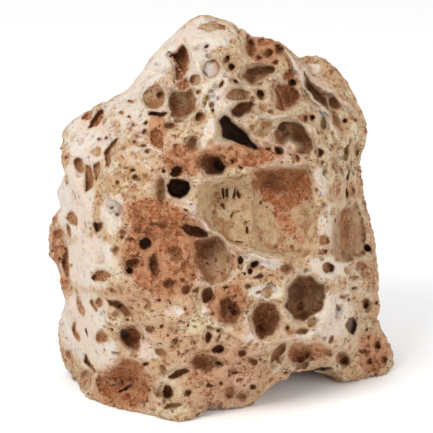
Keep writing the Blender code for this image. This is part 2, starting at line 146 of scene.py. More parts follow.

# A hollow in the front: its middle, its width and height, how far it is turned, how deep it goes, how many
# pixels its wall takes to get there, how much rust and darkness is in it, the darkness being painted shade
# with some clay brown, and how much shallower it is on one side than on the other, with the direction of the
# deeper side (0 to the right, 90 down)
Hollow = namedtuple("Hollow", "x y wide high turn deep wall rust dark lean way", defaults=(0, 0))
HOLLOWS = (
    # The crown and the rust lump beside it
    (210, 27, 28, 10, 0, 2.2, 4, 0.15, 0), (222, 28, 8, 6, 0, 3.2, 3, 0.9, 0.1),
    (183, 84, 14, 13, 0, 4.5, 6, 0.75, 0.15, 0.4, 45), (194, 81, 11, 11, 0, 4, 5, 0.55, 0.1),
    (155, 97, 22, 26, 10, 6, 8, 0.25, 0.05, 0.5, 90), (160.5, 95, 9, 10, 0, 7, 4, 0.55, 0.35),
    (158, 114, 20, 5, -8, 6, 2, 0.3, 0.6), (211, 70, 17, 19, 10, 3.5, 4, 0, 0.12),
    (231.5, 68, 7, 8, 20, 6, 3, 0.6, 0.7), (236.5, 81, 7, 5, 30, 5, 2.5, 0.5, 0.6),
    (227, 61, 7, 9, 20, 4, 3, 0.6, 0.3), (250.5, 48, 11, 18, 0, 7, 5, 0.8, 0.4),
    (279, 48.5, 12, 13, 0, 5.5, 4, 0.85, 0.35), (262.5, 42, 9, 7, 0, 4, 3, 0.8, 0.3),
    (274, 63, 9, 6, 0, 4, 3, 0.85, 0.3), (268, 52, 7, 9, 20, 4, 3, 0.8, 0.35),
    (259, 58, 9, 6, 0, 4, 3, 0.8, 0.3), (289.5, 75.5, 12, 11, 0, 4.5, 5, 0.95, 0.1, 0.4, 90),
    (293, 82, 9, 8, 0, 8, 3, 0.9, 0.7), (260.5, 96.5, 8, 10, 0, 6, 3, 0.5, 0.6),
    (262.5, 106, 10, 9, 0, 3, 4, 0.15, 0.05), (237.5, 95.5, 22, 11, 0, 4.5, 4, 0.1, 0.1),
    (200.5, 117.5, 9, 10, 0, 6, 3, 0.5, 0.6, 0.5, 180), (206, 101, 5, 11, 0, 2, 2, 0, 0.1),
    (305, 117.5, 15, 10, 0, 4, 4, 0.85, 0.3), (305.5, 118.5, 4, 8, 0, 7, 2, 0.9, 0.6),
    (312, 118.5, 4, 7, 0, 7, 2, 0.9, 0.6), (267, 128, 16, 12, 10, 4, 5, 0.35, 0.05, 0.5, -90),
    (278, 150.5, 10, 9, 0, 6, 3, 0.5, 0.8), (268, 148, 6, 4, 0, 4, 2, 0.5, 0.6),
    (319, 152.5, 9, 9, 0, 6, 3, 0.4, 0.75), (297.5, 158, 5, 9, 0, 4, 2, 0.95, 0.2),
    (192, 143.5, 14, 12, -20, 5.5, 4, 0.45, 0.35, 0.5, -60), (171, 126, 16, 7, -15, 5, 3, 0.4, 0.2),
    (156, 138.5, 15, 15, 0, 3, 5, 0.95, 0.3), (178.5, 120.5, 9, 5, 0, 6, 2, 0.3, 0.7),
    (220, 84.5, 5, 9, 40, 4, 2, 0.5, 0.5), (131, 102, 7, 5, 0, 3, 2, 0.3, 0.4),
    (246, 93, 7, 6, 0, 3.5, 3, 0.3, 0.2), (199, 93, 5, 6, 0, 3, 2, 0.3, 0.4),
    (272, 96, 6, 14, 10, 4, 3, 0.4, 0.3), (213, 106, 6, 7, 0, 2.5, 2, 0.1, 0.2),
    # The middle
    (176, 171, 13, 11, 0, 8, 4, 0.55, 0.5), (161, 190, 9, 26, 0, 5, 4, 0.45, 0.15, 0.3, 180),
    (219.5, 166.5, 10, 11, 0, 17, 4, 0.1, 1), (190, 268, 20, 18, 0, 3.5, 5, 0.6, 0.03, 0.4, -90),
    (145, 244, 12, 12, 0, 9, 4, 0.4, 0.9), (132.5, 264, 14, 10, 0, 6, 4, 0.7, 0.45),
    (130, 271, 9, 8, 0, 8, 3, 0.5, 0.8), (155, 265, 10, 25, 0, 5, 4, 0.7, 0.4),
    (207, 295, 12, 17, 0, 7, 4, 0.8, 0.5), (287, 268, 15, 11, 0, 4.5, 5, 0.45, 0.05, 0.4, 180),
    (240.5, 261, 7, 10, 10, 6, 3, 0.3, 0.8), (255.5, 264.5, 10, 6, -15, 6, 2.5, 0.4, 0.6),
    (250, 270.5, 6, 6, 0, 5, 2, 0.4, 0.7), (259, 276, 10, 4, 0, 4, 2, 0.3, 0.5),
    (175, 252, 16, 12, 20, 4, 4, 0.8, 0.2), (163, 226, 12, 9, -30, 3.5, 3, 0.85, 0.3),
    (170, 284, 14, 10, 0, 4, 4, 0.8, 0.3), (186, 290, 9, 10, 0, 4, 3, 0.8, 0.4),
    (266, 292, 13, 12, 0, 3, 4, 0.1, 0.05), (247, 285, 8, 6, 0, 3, 3, 0.2, 0.2),
    (271, 184, 44, 28, 30, 2.5, 8, 0.75, 0.66), (289, 203, 16, 18, 20, 2, 6, 0.7, 0.55),
    # The slits in the floor of the broad recess
    (222.5, 193.5, 3.6, 13, 4, 6.5, 1.4, 0.5, 0.8), (226.5, 193.5, 3.2, 11, 4, 6.5, 1.4, 0.9, 0.4),
    (234, 193.5, 2.6, 14, 6, 6, 1.2, 0.3, 0.7), (237.5, 194, 2.6, 13, -6, 6, 1.2, 0.3, 0.8),
    (222, 206, 3, 9, -10, 6, 1.4, 0.3, 0.6), (246.5, 231, 3.6, 10, -8, 6.5, 1.4, 0.4, 0.8),
    (284.5, 238, 3, 9, -15, 7, 1.4, 0.3, 0.6), (261, 203, 4, 4, 0, 7, 1.6, 0.4, 0.8),
    (231, 215, 2.6, 9, 0, 5.5, 1.2, 0.2, 0.4), (214, 205, 2.4, 10, 10, 5, 1.2, 0.2, 0.35),
    (262, 240, 4, 6, 20, 7, 1.6, 0.3, 0.4), (275, 247, 6, 4, 20, 7, 1.6, 0.3, 0.5),
    (292, 247, 4, 8, -20, 7, 1.6, 0.4, 0.5), (240, 243, 12, 3, 5, 5.5, 1.4, 0.3, 0.4),
    # The right side
    (366, 247.5, 9, 7, 0, 13, 2.5, 0.2, 0.95), (334, 191, 10, 17, 0, 6, 4, 0.5, 0.2, 0.4, 180),
    (349.5, 189, 10, 19, 0, 7, 4, 0.65, 0.4, 0.5, 180), (323, 240.5, 10, 12, 0, 5, 4, 0.7, 0.05),
    (322, 252, 10, 6, 0, 6, 2.5, 0.6, 0.55), (321, 258, 7, 4, 0, 4, 2, 0.3, 0.4),
    (328, 268, 13, 14, 0, 7, 4, 0.45, 0.4), (361, 267, 13, 12, 0, 6, 4, 0.6, 0.5),
    (348, 269.5, 9, 9, 0, 3.5, 3, 0.2, 0.1), (353, 278, 10, 5, 0, 4, 2, 0.3, 0.5),
    (365, 303, 8, 11, 0, 7, 3, 0.7, 0.6), (335.5, 103, 11, 14, 0, 6, 4, 0.15, 0.35, 0.6, 90),
    (346, 121.5, 6, 5, 0, 5, 2, 0.5, 0.7), (343, 126, 12, 9, 30, 3, 4, 0.5, 0.15),
    (324, 123.5, 7, 13, 0, 4.5, 3, 0.3, 0.3), (317, 95, 8, 40, -42, 4, 4, 0.35, 0.1),
    (337, 121, 8, 28, -22, 3.5, 4, 0.35, 0.1), (365, 131, 6, 10, 0, 3, 3, 0.8, 0.2),
    (357, 150, 7, 14, 10, 4, 3, 0.4, 0.4), (326, 215, 5, 9, 0, 3, 2, 0.3, 0.4),
    (333, 212, 5, 12, 0, 3.5, 2, 0.3, 0.4), (340, 296, 5, 4, 0, 3, 2, 0.3, 0.5),
    # Lower right
    (298.5, 353, 22, 20, 0, 6, 6, 1, 0.25), (302, 360, 10, 8, 0, 8, 3, 0.95, 0.5),
    (342.5, 357.5, 13, 14, 0, 8, 4, 0.6, 0.6), (362, 351, 9, 4, 0, 6, 1.5, 0.5, 0.8),
    (318.5, 370, 26, 8, 0, 3, 3, 0.4, 0.15), (326, 352, 12, 6, 20, 5, 3, 0.7, 0.4),
    (376, 345, 7, 9, 0, 5, 3, 0.9, 0.3), (369, 362, 8, 6, 0, 5, 3, 0.9, 0.4),
    (383, 360, 6, 8, 0, 4, 3, 0.8, 0.3), (312, 322, 9, 12, 20, 3.5, 3, 0.2, 0.1),
    (302, 331, 14, 6, -10, 4, 3, 0.3, 0.3), (331, 339, 5, 8, 20, 3, 2, 0.3, 0.3),
    # Lower middle
    (125, 334, 9, 12, 0, 11, 3, 0.3, 1), (218.5, 350, 13, 9, -10, 7, 3, 0.4, 0.65),
    (207.5, 337.5, 7, 12, 0, 6, 3, 0.2, 0.65), (167.5, 391, 11, 15, 0, 9, 4, 0.7, 0.65),
    (172.5, 406, 22, 6, -5, 4.5, 2.5, 0.4, 0.35), (230, 392.5, 12, 13, 0, 4.5, 4, 0.3, 0.15, 0.5, 180),
    (241, 396, 10, 9, 0, 4, 3, 0.4, 0.4), (145, 365, 7, 5, 0, 4, 2, 0.1, 0.5),
    (127, 388, 22, 4, -30, 8, 1.5, 1, 0.6), (160, 352, 11, 7, 20, 3, 3, 0.4, 0.2),
    (243, 352, 9, 9, 0, 4, 3, 0.7, 0.4), (251, 362, 10, 7, 30, 5, 3, 0.6, 0.5),
    (253, 386, 7, 6, 0, 4, 2, 0.5, 0.4), (233, 372, 9, 6, 10, 3.5, 2, 0.6, 0.4),
    (187, 392, 9, 7, 0, 3.5, 3, 0.5, 0.3), (150, 330, 10, 6, 20, 3, 2, 0.4, 0.3),
    # The left face
    (98, 140.5, 6, 4, 0, 3, 2, 0.3, 0.5), (96, 152, 12, 10, 0, 2, 4, 0, 0),
    (80.5, 165.5, 10, 18, -10, 4.5, 3.5, 0.35, 0.35), (136, 178, 6, 8, 0, 4, 2, 0.2, 0.6),
    (68.5, 230, 5, 15, -10, 4, 2, 0.3, 0.4), (59, 235, 8, 9, 0, 5, 3, 0.9, 0.5),
    (66, 263, 7, 34, -3, 6, 3, 0.8, 0.4), (98.5, 302.5, 8, 9, 20, 5, 3, 0.4, 0.4),
    (93, 305, 5, 16, -25, 4, 2, 0.5, 0.35), (81, 307, 5, 24, -8, 3.5, 2, 0.6, 0.3),
    (76, 332, 5, 21, -10, 4, 2, 0.7, 0.3), (101, 336, 12, 14, 0, 2.5, 3, 0.6, 0.1),
    (86, 380, 12, 20, 0, 5, 4, 0.5, 0.25), (66, 180, 3, 12, 5, 2.5, 1.5, 0.4, 0.3),
    (122, 232, 8, 6, 0, 3, 2, 0.5, 0.3), (116, 252, 7, 10, 30, 3, 3, 0.5, 0.3),
    (113, 290, 9, 6, 20, 3.5, 2, 0.5, 0.4), (70, 355, 6, 12, -20, 3, 2, 0.4, 0.3),
)

# Small deep dots: what they share, as in a row above from the width on, and their middles
DOT = (4.2, 4.2, 0, 3.2, 1.5, 0.4, 0.4)
DOTS = (
    (98, 141), (105, 139), (122, 113), (129, 117), (133, 125), (146, 124), (145, 132), (136, 142),
    (144, 146), (134, 170), (134, 179), (163, 171), (117, 182), (71, 264), (232, 162), (241, 169),
    (306, 156), (321, 162), (333, 160), (330, 146), (333, 166), (351, 202), (249, 270), (243, 273),
    (261, 275), (342, 296), (348, 299), (353, 298), (357, 302), (377, 303), (286, 327), (301, 343),
    (315, 350), (158, 300), (163, 326), (129, 319), (221, 302), (243, 311), (226, 287), (258, 292),
    (219, 331), (250, 360), (259, 360), (220, 384), (207, 385), (253, 386), (206, 46), (179, 107),
    (214, 112), (147, 152),
)

# A hollow whose rim has corners: its outline, then the same as for a round one
Cut = namedtuple("Cut", "outline deep wall rust dark lean way", defaults=(0, 0))
CUTS = (
    # The triangular slot in the crown
    (((183.5, 43), (188, 53), (191, 62), (189, 71), (183.5, 78), (176, 80.5), (175.5, 67), (172, 60),
     (168.5, 56), (171.5, 54), (177.5, 53), (179.5, 48.5)), 8, 5, 0.95, 0.3, 0.6, 180),
    # The large pit of the crown, then the brown hollow and the rust pit right of it
    (((168.5, 96), (172.5, 91.5), (182, 92), (191, 91), (197.5, 99.5), (196.5, 108), (190, 113.5), (183.5,
     119.5), (176, 121), (171, 114.5), (168.5, 106)), 12, 6, 0.3, 0.6, 0.7, 80),
    (((242, 75.5), (248.5, 70.5), (259, 66), (272, 66.5), (276, 72.5), (265, 80), (262.5, 86.5), (255,
     85.5), (246.5, 81.5)), 9, 5, 0.4, 0.5, 0.5, 180),
    (((274.5, 89), (280, 83.5), (289.5, 82.5), (296, 86.5), (300, 97), (296, 106), (284, 111.5), (276.5,
     108), (274, 99.5)), 11, 6, 0.85, 0.4, 0.6, 80),
    # The dark hollow over the black slot, and the slot
    (((230, 110.5), (237.5, 104), (248.5, 100.5), (254, 105), (249.5, 112.5), (241, 117.5), (233, 116)), 10,
     4, 0.2, 0.75, 0.4, 180),
    (((219, 121), (225.5, 115.5), (231, 118.5), (239.5, 127.5), (244.5, 132.5), (252, 140), (261, 148.5),
     (255.5, 149.5), (243, 145), (234.5, 142), (227, 139), (221, 135)), 19, 3.5, 0.1, 1),
    # The pit with a dome in it
    (((278, 128), (283, 122.5), (295.5, 121.5), (305.5, 127.5), (311.5, 138.5), (313, 150), (308, 154.5),
     (300, 154), (287, 151), (278, 143.5), (275.5, 135)), 10, 4, 0.35, 0.6, 0.4, -45),
    # The black hole and the round one right of it
    (((166.5, 185), (171, 177.5), (178, 178), (184, 180.5), (190, 182), (192, 187), (188, 195), (181,
     198.5), (173, 196.5), (167.5, 191)), 22, 3.5, 0.1, 1),
    (((199.5, 156), (207, 153), (219.5, 155), (226, 166), (221, 174.5), (213.5, 176.5), (206, 173.5), (202,
     165)), 13, 6, 0.5, 0.6, 0.5, 20),
    # The broad recess: its left floor, its right one behind a step, and its deep rust corner
    (((195, 197), (198.5, 187), (207, 180), (219.5, 176), (232, 177), (255, 171), (283, 166), (309, 168.5),
     (308, 182), (312, 198), (317, 214), (319, 230), (315, 247), (304, 259), (283, 257), (252, 250), (231,
     243), (214.5, 233), (203, 223)), 3.5, 8, 0, 0),
    (((250, 178), (283, 168), (306, 170), (308, 207), (307, 243), (297, 254), (283, 254), (252, 247)), 5.6,
     9, 0.15, 0.05),
    (((253, 174), (283, 167.5), (308, 169.5), (311, 198), (302, 220), (289, 214), (275, 200), (262, 186)),
     8.5, 14, 0.3, 0.35, 0.4, 200),
    # The slot under the recess and the bowl
    (((180, 228), (186, 225.5), (197, 227.5), (210, 232.5), (207, 237.5), (198, 237), (187, 235)), 11, 3,
     0.7, 0.8, 0.4, -90),
    (((194.5, 241), (205, 236), (216, 238), (226, 247), (231.5, 258), (231, 270), (224, 280), (212, 285),
     (203, 280), (198, 268), (194, 255)), 15, 10, 0.45, 0.66, 0.6, 210),
    # The brown hollows under it
    (((219, 300), (226, 297), (238, 302), (242, 312), (238, 322), (228, 324), (221, 318)), 10, 6, 0.85,
     0.35, 0.6, -90),
    (((252.5, 310), (259, 303), (268, 301), (276, 303), (280, 312), (278.5, 326), (272, 336), (263, 337.5),
     (254, 331)), 12, 7, 0.8, 0.3, 0.5, 180),
    # The big dark hole
    (((287.5, 287.5), (296, 275), (310, 276), (323.5, 285), (326, 297.5), (320, 310), (305, 321), (295,
     318), (285, 305)), 20, 6, 0.1, 0.86, 0.7, 190),
    # The tall recess in the right side, and its black neighbour further down
    (((343.5, 206), (355, 202.5), (362.5, 214), (366, 235), (363, 254), (347.5, 262.5), (336, 262), (330,
     250), (331, 235), (336, 220)), 9, 6, 0.3, 0.72, 0.5, 150),
    (((348, 318), (353, 316.5), (357, 320), (356, 328), (354, 334), (349, 331), (346, 325)), 12, 3, 0.2, 1),
    # The plate on the back lump
    (((304, 64), (313, 60), (324, 59.5), (327, 66), (322, 74), (313, 77), (306, 71)), 1.6, 2.5, 0.05, 0),
    # The lens between the brown hollows and the foot
    (((285, 341), (284.5, 350), (276, 360), (270, 363), (271, 354), (278, 344)), 6, 3, 0.4, 0.3),
    # The hollow with a black corner, the almond and the slit under it
    (((122.5, 329), (128, 325.5), (135, 326), (143, 337.5), (140, 350), (134, 350), (127.5, 347.5), (120.5,
     337.5)), 8, 4, 0.95, 0.3, 0.6, 200),
    (((188.5, 360), (195, 354.5), (206, 354), (216, 359), (225, 365), (220, 369), (208, 371), (197, 368)),
     7, 6, 0.5, 0.1, 0.6, 225),
    (((167.5, 376), (174, 370.5), (183, 369), (190, 370.5), (185, 375), (176, 378)), 6, 2.5, 0.2, 0.5),
    # The crumbly hollow at the bottom left
    (((96, 380), (112.5, 368.5), (125, 360), (135, 360), (143.5, 367.5), (150, 390), (148.5, 402.5), (135,
     410), (115, 405), (100, 392.5)), 4, 9, 1, 0.1),
    # The left face, from its top down
    (((80.5, 119.5), (87, 110.5), (93, 117), (88, 120.5)), 2.5, 3, 0.9, 0.15),
    (((102, 108.5), (105, 112), (103, 120), (98, 127), (88, 129), (92, 121), (97, 114)), 6, 3, 0.9, 0.25),
    (((117.5, 136), (116.5, 142), (113, 147), (112, 155), (110, 163), (104.5, 167), (104, 158), (106, 150),
     (110.5, 142)), 5.5, 3, 0.3, 0.35),
    (((87, 163.5), (92.5, 168), (95, 178), (93, 187), (86, 192.5), (84, 184), (84.5, 173)), 6.5, 4, 0.7,
     0.2, 0.5, 0),
    (((94, 165), (99.5, 161), (101.5, 168), (99, 178), (97, 182), (95, 174)), 4.5, 3, 0.6, 0.2),
    (((69, 209.5), (74, 211), (78, 219), (77.5, 227.5), (70, 224), (66.5, 218)), 5, 3.5, 0.6, 0.1, 0.5, 0),
    (((95, 222), (104, 222.5), (103, 229), (98, 233), (95, 229)), 7, 3, 0.6, 0.8),
    (((90, 277.5), (96, 271), (105, 270), (111, 276), (105, 282.5), (93.5, 281)), 6.5, 3.5, 0.7, 0.35, 0.6,
     180),
    (((107.5, 298.5), (117, 301), (127, 306), (136, 314), (127, 316), (117, 311), (110, 305)), 6, 3, 0.6,
     0.4), (((85, 353), (90, 357), (94, 366), (94.5, 374), (90, 369), (86, 361)), 5.5, 2.5, 0.7, 0.3),
)

# A ridge or lip that stands out: the line along its crest, its width and its height
Ridge = namedtuple("Ridge", "line wide high")
RIDGES = (
    # Round the broad recess: its right side, its lower lip and the pale knob at its left
    (((314, 163), (319, 182), (326, 198), (327, 216), (322, 236), (321, 256)), 12, 3.5),
    (((180, 209), (192, 216), (203, 224), (218, 236), (232, 246), (250, 254), (265, 259), (283, 261), (302,
     265)), 8, 3.5), (((172, 204), (183, 206), (193, 209)), 13, 4),
    # Thin walls between the pits of the crown, and one inside its rust pit
    (((171.5, 54), (177.5, 67), (183.5, 79)), 3, 6), (((148, 110.5), (156, 111), (164, 110.5)), 3, 3),
    (((216.5, 58), (224.5, 74.5), (236, 79.5), (248.5, 86), (262, 89)), 5.5, 5),
    (((276.5, 87), (281, 97), (286.5, 108)), 2.6, 4), (((225, 89), (238, 88.5), (249, 90)), 4, 3.5),
    (((214, 118), (212, 130), (205, 146)), 9, 1.5), (((188, 84), (189, 78)), 3, 2),
    (((252, 108), (262, 115), (276, 118.5), (292, 113), (307, 105)), 8, 5),
    (((254, 85), (266, 80), (277, 78)), 8, 5), (((314, 124), (319, 139), (317, 158)), 6, 4),
    (((203, 88), (206, 100), (212, 112), (214, 120)), 7, 2.5), (((143, 84), (139, 96), (144, 108)), 5, 2.5),
    (((193, 52), (198, 66), (201, 84)), 8, 2.5),
    # The two ridges down the right of the crown
    (((283, 42), (295, 63), (301.5, 74), (305.5, 88), (312.5, 98), (323, 106), (330, 115.5), (334, 129),
     (339, 140)), 8.5, 9),
    (((299.5, 63.5), (304.5, 70.5), (310.5, 78), (318, 85), (324, 91), (334, 92), (343, 101), (353.5,
     110.5), (357.5, 117.5)), 8.5, 8),
    # The dome inside the pit under it, and the ledge of the tall recess
    (((284, 147), (289, 142), (295, 147)), 21, 8.5), (((352, 259), (364, 257), (372, 258)), 6, 3),
)

# A broad dip of the ground between ridges, marked like a hollow but soft all the way
Dip = namedtuple("Dip", "x y wide high turn deep")
DIPS = (
    (258, 66, 66, 44, 20, 3.0), (322, 104, 20, 66, -38, 6.0), (240, 92, 44, 34, 0, 2.2),
    (172, 101, 62, 50, 0, 2.6), (284, 100, 40, 36, 0, 2.5), (183, 62, 30, 46, 0, 2.0),
    (236, 126, 56, 40, 30, 2.0), (294, 140, 48, 44, 0, 2.2), (150, 250, 80, 100, 0, 1.6),
    (64, 262, 10, 80, -3, 2.2), (346, 232, 50, 74, 0, 2.2), (262, 320, 44, 50, 0, 1.8),
    (206, 362, 60, 30, -10, 1.8), (122, 386, 66, 56, 0, 2.0), (200, 166, 84, 34, 0, 1.8),
    (302, 352, 40, 34, 0, 1.8), (112, 145, 20, 46, 20, 1.6), (132, 338, 40, 40, 0, 1.8),
    (164, 190, 22, 44, 0, 2.0), (352, 92, 22, 50, -35, 3.0), (100, 275, 34, 22, 0, 1.5),
)

# Colour patches on the front: a middle, a width and height, a turn, and how strong the colour is
Patch = namedtuple("Patch", "x y wide high turn amount")
RUST_PATCHES = (
    (163, 250, 92, 116, 0, 1), (148, 212, 56, 40, 0, 0.85), (228, 303, 42, 46, 0, 1),
    (238, 156, 96, 28, 0, 1), (184, 160, 56, 40, 0, 0.8), (158, 131, 22, 42, 0, 0.85),
    (264, 50, 46, 34, 0, 0.8), (286, 97, 28, 30, 0, 0.8), (110, 185, 19, 23, 0, 0.35),
    (220, 370, 100, 90, 0, 0.6), (205, 400, 70, 24, 0, 0.5), (165, 330, 50, 60, 0, 0.35),
    (316, 352, 36, 24, 0, 0.75), (373, 354, 38, 52, 0, 0.8), (58, 246, 16, 46, 0, 0.75),
    (64, 284, 12, 24, 0, 0.7), (322, 84, 26, 18, 30, 0.4), (124, 387, 66, 56, 0, 1),
    (130, 338, 24, 26, 0, 0.9), (122, 300, 34, 18, 0, 0.5), (102, 337, 16, 14, 0, 0.7),
    (344, 192, 26, 34, 0, 0.45), (158, 320, 36, 20, 0, 0.35), (283, 188, 66, 46, 10, 1),
    (284, 216, 76, 22, 58, 0.7), (303, 186, 18, 30, 0, 1), (233, 263, 6, 22, 0, 0.8),
    (345, 340, 24, 14, 0, 0.4), (220, 145, 34, 10, 20, 0.5),
)
WHITE_PATCHES = (
    (88, 140, 52, 66, 0, 0.8), (76, 200, 44, 90, 0, 0.85), (112, 215, 30, 50, 0, 0.6),
    (88, 262, 60, 60, 0, 0.85), (82, 322, 54, 70, 0, 0.9), (97, 352, 46, 40, 0, 0.8),
    (205, 34, 64, 38, 0, 0.75), (190, 58, 50, 46, 0, 0.75), (216, 92, 50, 66, 0, 0.6),
    (333, 318, 50, 70, 0, 0.62), (140, 104, 84, 64, 0, 0.6), (150, 152, 60, 50, 0, 0.42),
    (114, 120, 40, 60, 0, 0.5), (146, 66, 40, 130, 46, 0.9), (311, 91, 9, 112, -30, 0.7),
    (329, 91, 8, 80, -47, 0.6), (268, 117, 50, 9, 0, 0.5), (330, 268, 50, 30, 0, 0.75),
    (266, 262, 78, 12, 12, 0.6), (320, 182, 15, 42, -12, 0.6), (325, 226, 16, 56, 6, 0.6),
    (184, 208, 34, 22, 15, 1), (266, 292, 42, 18, 0, 0.7), (245, 381, 30, 16, 0, 0.75),
    (175, 312, 26, 14, 0, 0.85), (206, 312, 14, 10, 0, 0.8), (148, 352, 26, 26, 0, 0.6),
    (246, 337, 22, 12, 0, 0.8), (314, 70, 26, 20, 0, 0.6), (172, 380, 30, 30, 0, 0.35),
    (208, 132, 14, 36, 15, 0.7), (262, 340, 30, 16, 0, 0.4), (305, 334, 26, 12, 0, 0.6),
    (210, 225, 20, 14, 40, 0.8),
)
PALE_FLOORS = (
    (211, 70, 16, 18, 0, 0.9), (289, 147, 20, 12, 0, 0.9), (237, 96, 20, 8, 0, 0.5),
    # The first patch of this row pales the lit right side of the bowl: painted light
    (225, 264, 10, 22, 0, 0.3), (314, 68, 20, 14, 0, 0.7), (190, 268, 12, 10, 0, 0.3),
    (245, 240, 22, 10, 20, 0.3),
)
SMOOTH_PATCHES = (
    (240, 212, 78, 66, 15, 1), (288, 232, 60, 60, 0, 0.9), (348, 236, 34, 60, 0, 0.9),
    (267, 128, 16, 14, 0, 0.9), (161, 190, 12, 28, 0, 0.8), (207, 132, 14, 34, 15, 0.7),
)
OCHRE_PATCHES = (
    (96, 152, 12, 10, 0, 0.5), (206, 101, 5, 12, 0, 0.8), (336, 100, 11, 13, 0, 0.6),
    # The second patch of this row is on the lit right side of the bowl: painted light
    (110, 185, 17, 21, 0, 0.5), (224, 260, 10, 22, 0, 0.6), (108, 152, 8, 18, 0, 0.5),
    (190, 66, 6, 14, 0, 0.6), (324, 124, 6, 12, 0, 0.6),
)

# Pores of every side: how many, their least and greatest radius, how deep their middle lies in radii, and
# what share of them the front keeps, whose larger hollows are all listed above
Pores = namedtuple("Pores", "count least greatest sunk in_front")
PORES = (
    (70, 4.5, 7.5, 0.25, 0), (800, 2.2, 4.2, 0.2, 0), (3800, 1.1, 2.0, 0.3, 0.5), (12000, 0.6, 1.1, 0.4, 1),
)
PORE_SEED = 11
# Points tried for each pore, and how many mm behind the front's rim pores needn't be kept back
PORE_TRIES = 5
PORES_BEHIND = (8, 20)
PORE_STRETCH = (0.75, 1.35)
PORE_CORNERS = 1.25
PORE_WALL = 0.7
PORES_IN_WHITE = 0.2
PORES_IN_RUST = 0.75
PORES_WHERE_SMOOTH = 0.08

# How uneven each kind of stone is: the wavelength and the height of its swells, lumps and grain
SWELLS = (12.0, 1.8)
WHITE_WAVES = (6.0, 0.35)
TAN_LUMPS = (5.2, 1.9)
TAN_GRAIN = (2.2, 0.65)
RUST_GRAIN = (1.9, 0.7)
RUST_LUMPS = (4.0, 2.6)
# How much less uneven smooth floors are, how much of that rust takes back, and the same for swells
SMOOTH_LOSS = 0.75
SMOOTH_LOSS_IN_RUST = 0.7
LEAST_SWELL = 0.25
SWELL_LOSS_IN_WHITE = 0.5
ROUGH_REACH = 3.6
# How much lower each finer layer of lumps is, and what brings them to about 0 on the whole
LUMP_FALL = 1.7
CREASE = 0.28

# Grains of clay on the rusty stone: how many, their least and greatest radius, and how far they are sunk
CRUMBS = 9000
CRUMB_SIZES = (0.35, 1.0)
CRUMB_SUNK = 0.35
CRUMB_SEED = 3
# How rusty the stone under them is, the share of them on faces that look back, and how far up from the ground
CRUMB_RUST = (0.45, 0.9)
LOOKS_BACK = 0.3
CRUMBS_BEHIND = 0.35
CRUMB_LIFT = 1.3
# How uneven each corner of a crumb is, and how far it is stretched along each axis
CRUMB_UNEVEN = (0.75, 1.25)
CRUMB_STRETCH = (0.7, 1.3)

# The blurs that tell a pit from its rim, and how many cells of the grid are taken as one for each
PIT_SIZES = ((0.9, 1), (2.2, 2), (5.0, 3))
# How many mm deep a fine, a middle and a wide pit set in and are full, and the same for crests
FINE_PIT, MIDDLE_PIT, WIDE_PIT = (0.12, 0.7), (0.3, 1.7), (0.8, 4.5)
FINE_CREST, MIDDLE_CREST = (0.2, 0.8), (0.4, 1.8)
FINE_CREST_SHARE = 0.7

# How far the outlines of hollows and patches wander, in pixels, and over what length
WANDER = ((2.0, 11.0), (1.0, 4.8), (0.45, 2.0))
# How dark with painted shade the middle of a deep hollow is at least, and between which depths that shade
# grows
SHADE_FROM_DEPTH = 0.36
SHADE_DEPTHS = (3.5, 9)
# How much of that painted shade is missing on the side where light falls in, and the direction of the other
# side
LIT_SIDE = 0.65
SHADED_WAY = math.radians(228)
# From this darkness on, both sides are dark
EVENLY_DARK = (0.65, 0.95)
# The tops of walls and domes inside hollows lose the painted shade and are as pale as the ground outside,
# from these heights in mm
PALE_TOPS = 0.85
PALE_HEIGHTS = (0.5, 3.5)
# Where the ground falls away further round the hollows, so that only ridges are left between them
OPEN_GROUND = (
    (236, 96, 210, 120, 0, 0.9), (320, 100, 90, 90, 0, 0.6), (200, 160, 110, 40, 0, 0.7),
    (240, 330, 150, 60, 0, 0.5),
)

# The noises of the material: their wavelength in mm and their detail
BROAD, MIDDLE, FINE, GRAINY = (16, 3), (4.5, 4), (1.6, 3), (0.8, 2)
SPECK_GROUPS = (7, 3)
NOISE_ROUGHNESS = 0.55
# How much of the middle and of the fine noise is in the one that breaks up edges
RAGGED_MIDDLE, RAGGED_FINE = 0.55, 0.45
# The spots on each ground: their colour, the noise that they follow, between which of its values they set in,
# and how strong they are
TAN_SPOTS = (
    (PINK_TAN, MIDDLE, 0.4, 0.6, 1), (CREAM, (9, 4), 0.48, 0.62, 1), (DARK_TAN, (2.4, 3), 0.5, 0.68, 0.85),
    (RUST, (3.1, 3), 0.56, 0.68, 0.8),
)
SKIN_SPOTS = (
    (PINK_WHITE, BROAD, 0.42, 0.58, 1), (GREY_WHITE, (6, 3), 0.52, 0.66, 0.8),
    (TAN, (3.3, 3), 0.56, 0.7, 0.7),
)
FLOOR_SPOTS = ((DARK_TAN, MIDDLE, 0.4, 0.64, 1), (TAN, BROAD, 0.45, 0.62, 0.7))
RUST_SPOTS = (
    (PALE_RUST, MIDDLE, 0.46, 0.66, 1), (DEEP_RUST_AND_SHADE, FINE, 0.5, 0.64, 0.8), (PINK_TAN, GRAINY, 0.55, 0.7, 0.6),
    (PINK_TAN, (2, 4), 0.54, 0.7, 0.55),
)
PALE_SPOTS = ((PINK_WHITE, BROAD, 0.4, 0.6, 1),)
SHADE_SPOTS = ((DEEP_RUST_AND_SHADE, MIDDLE, 0.4, 0.6, 1),)
# Where the edge of each kind of patch sets in and is full, and how far noise sways it
SMOOTH_EDGE, WHITE_EDGE, RUSTY_EDGE = (0.4, 0.7, 1.2), (0.3, 0.6, 2.0), (0.5, 0.72, 2.0)
STAIN_EDGE, OCHRE_EDGE = (0.15, 0.45, 2.0), (0.4, 0.7, 1.2)
STAIN, OCHRE_SHARE, SPECK_SHARE = 0.7, 0.75, 0.75
DARK_SWAY = 0.5
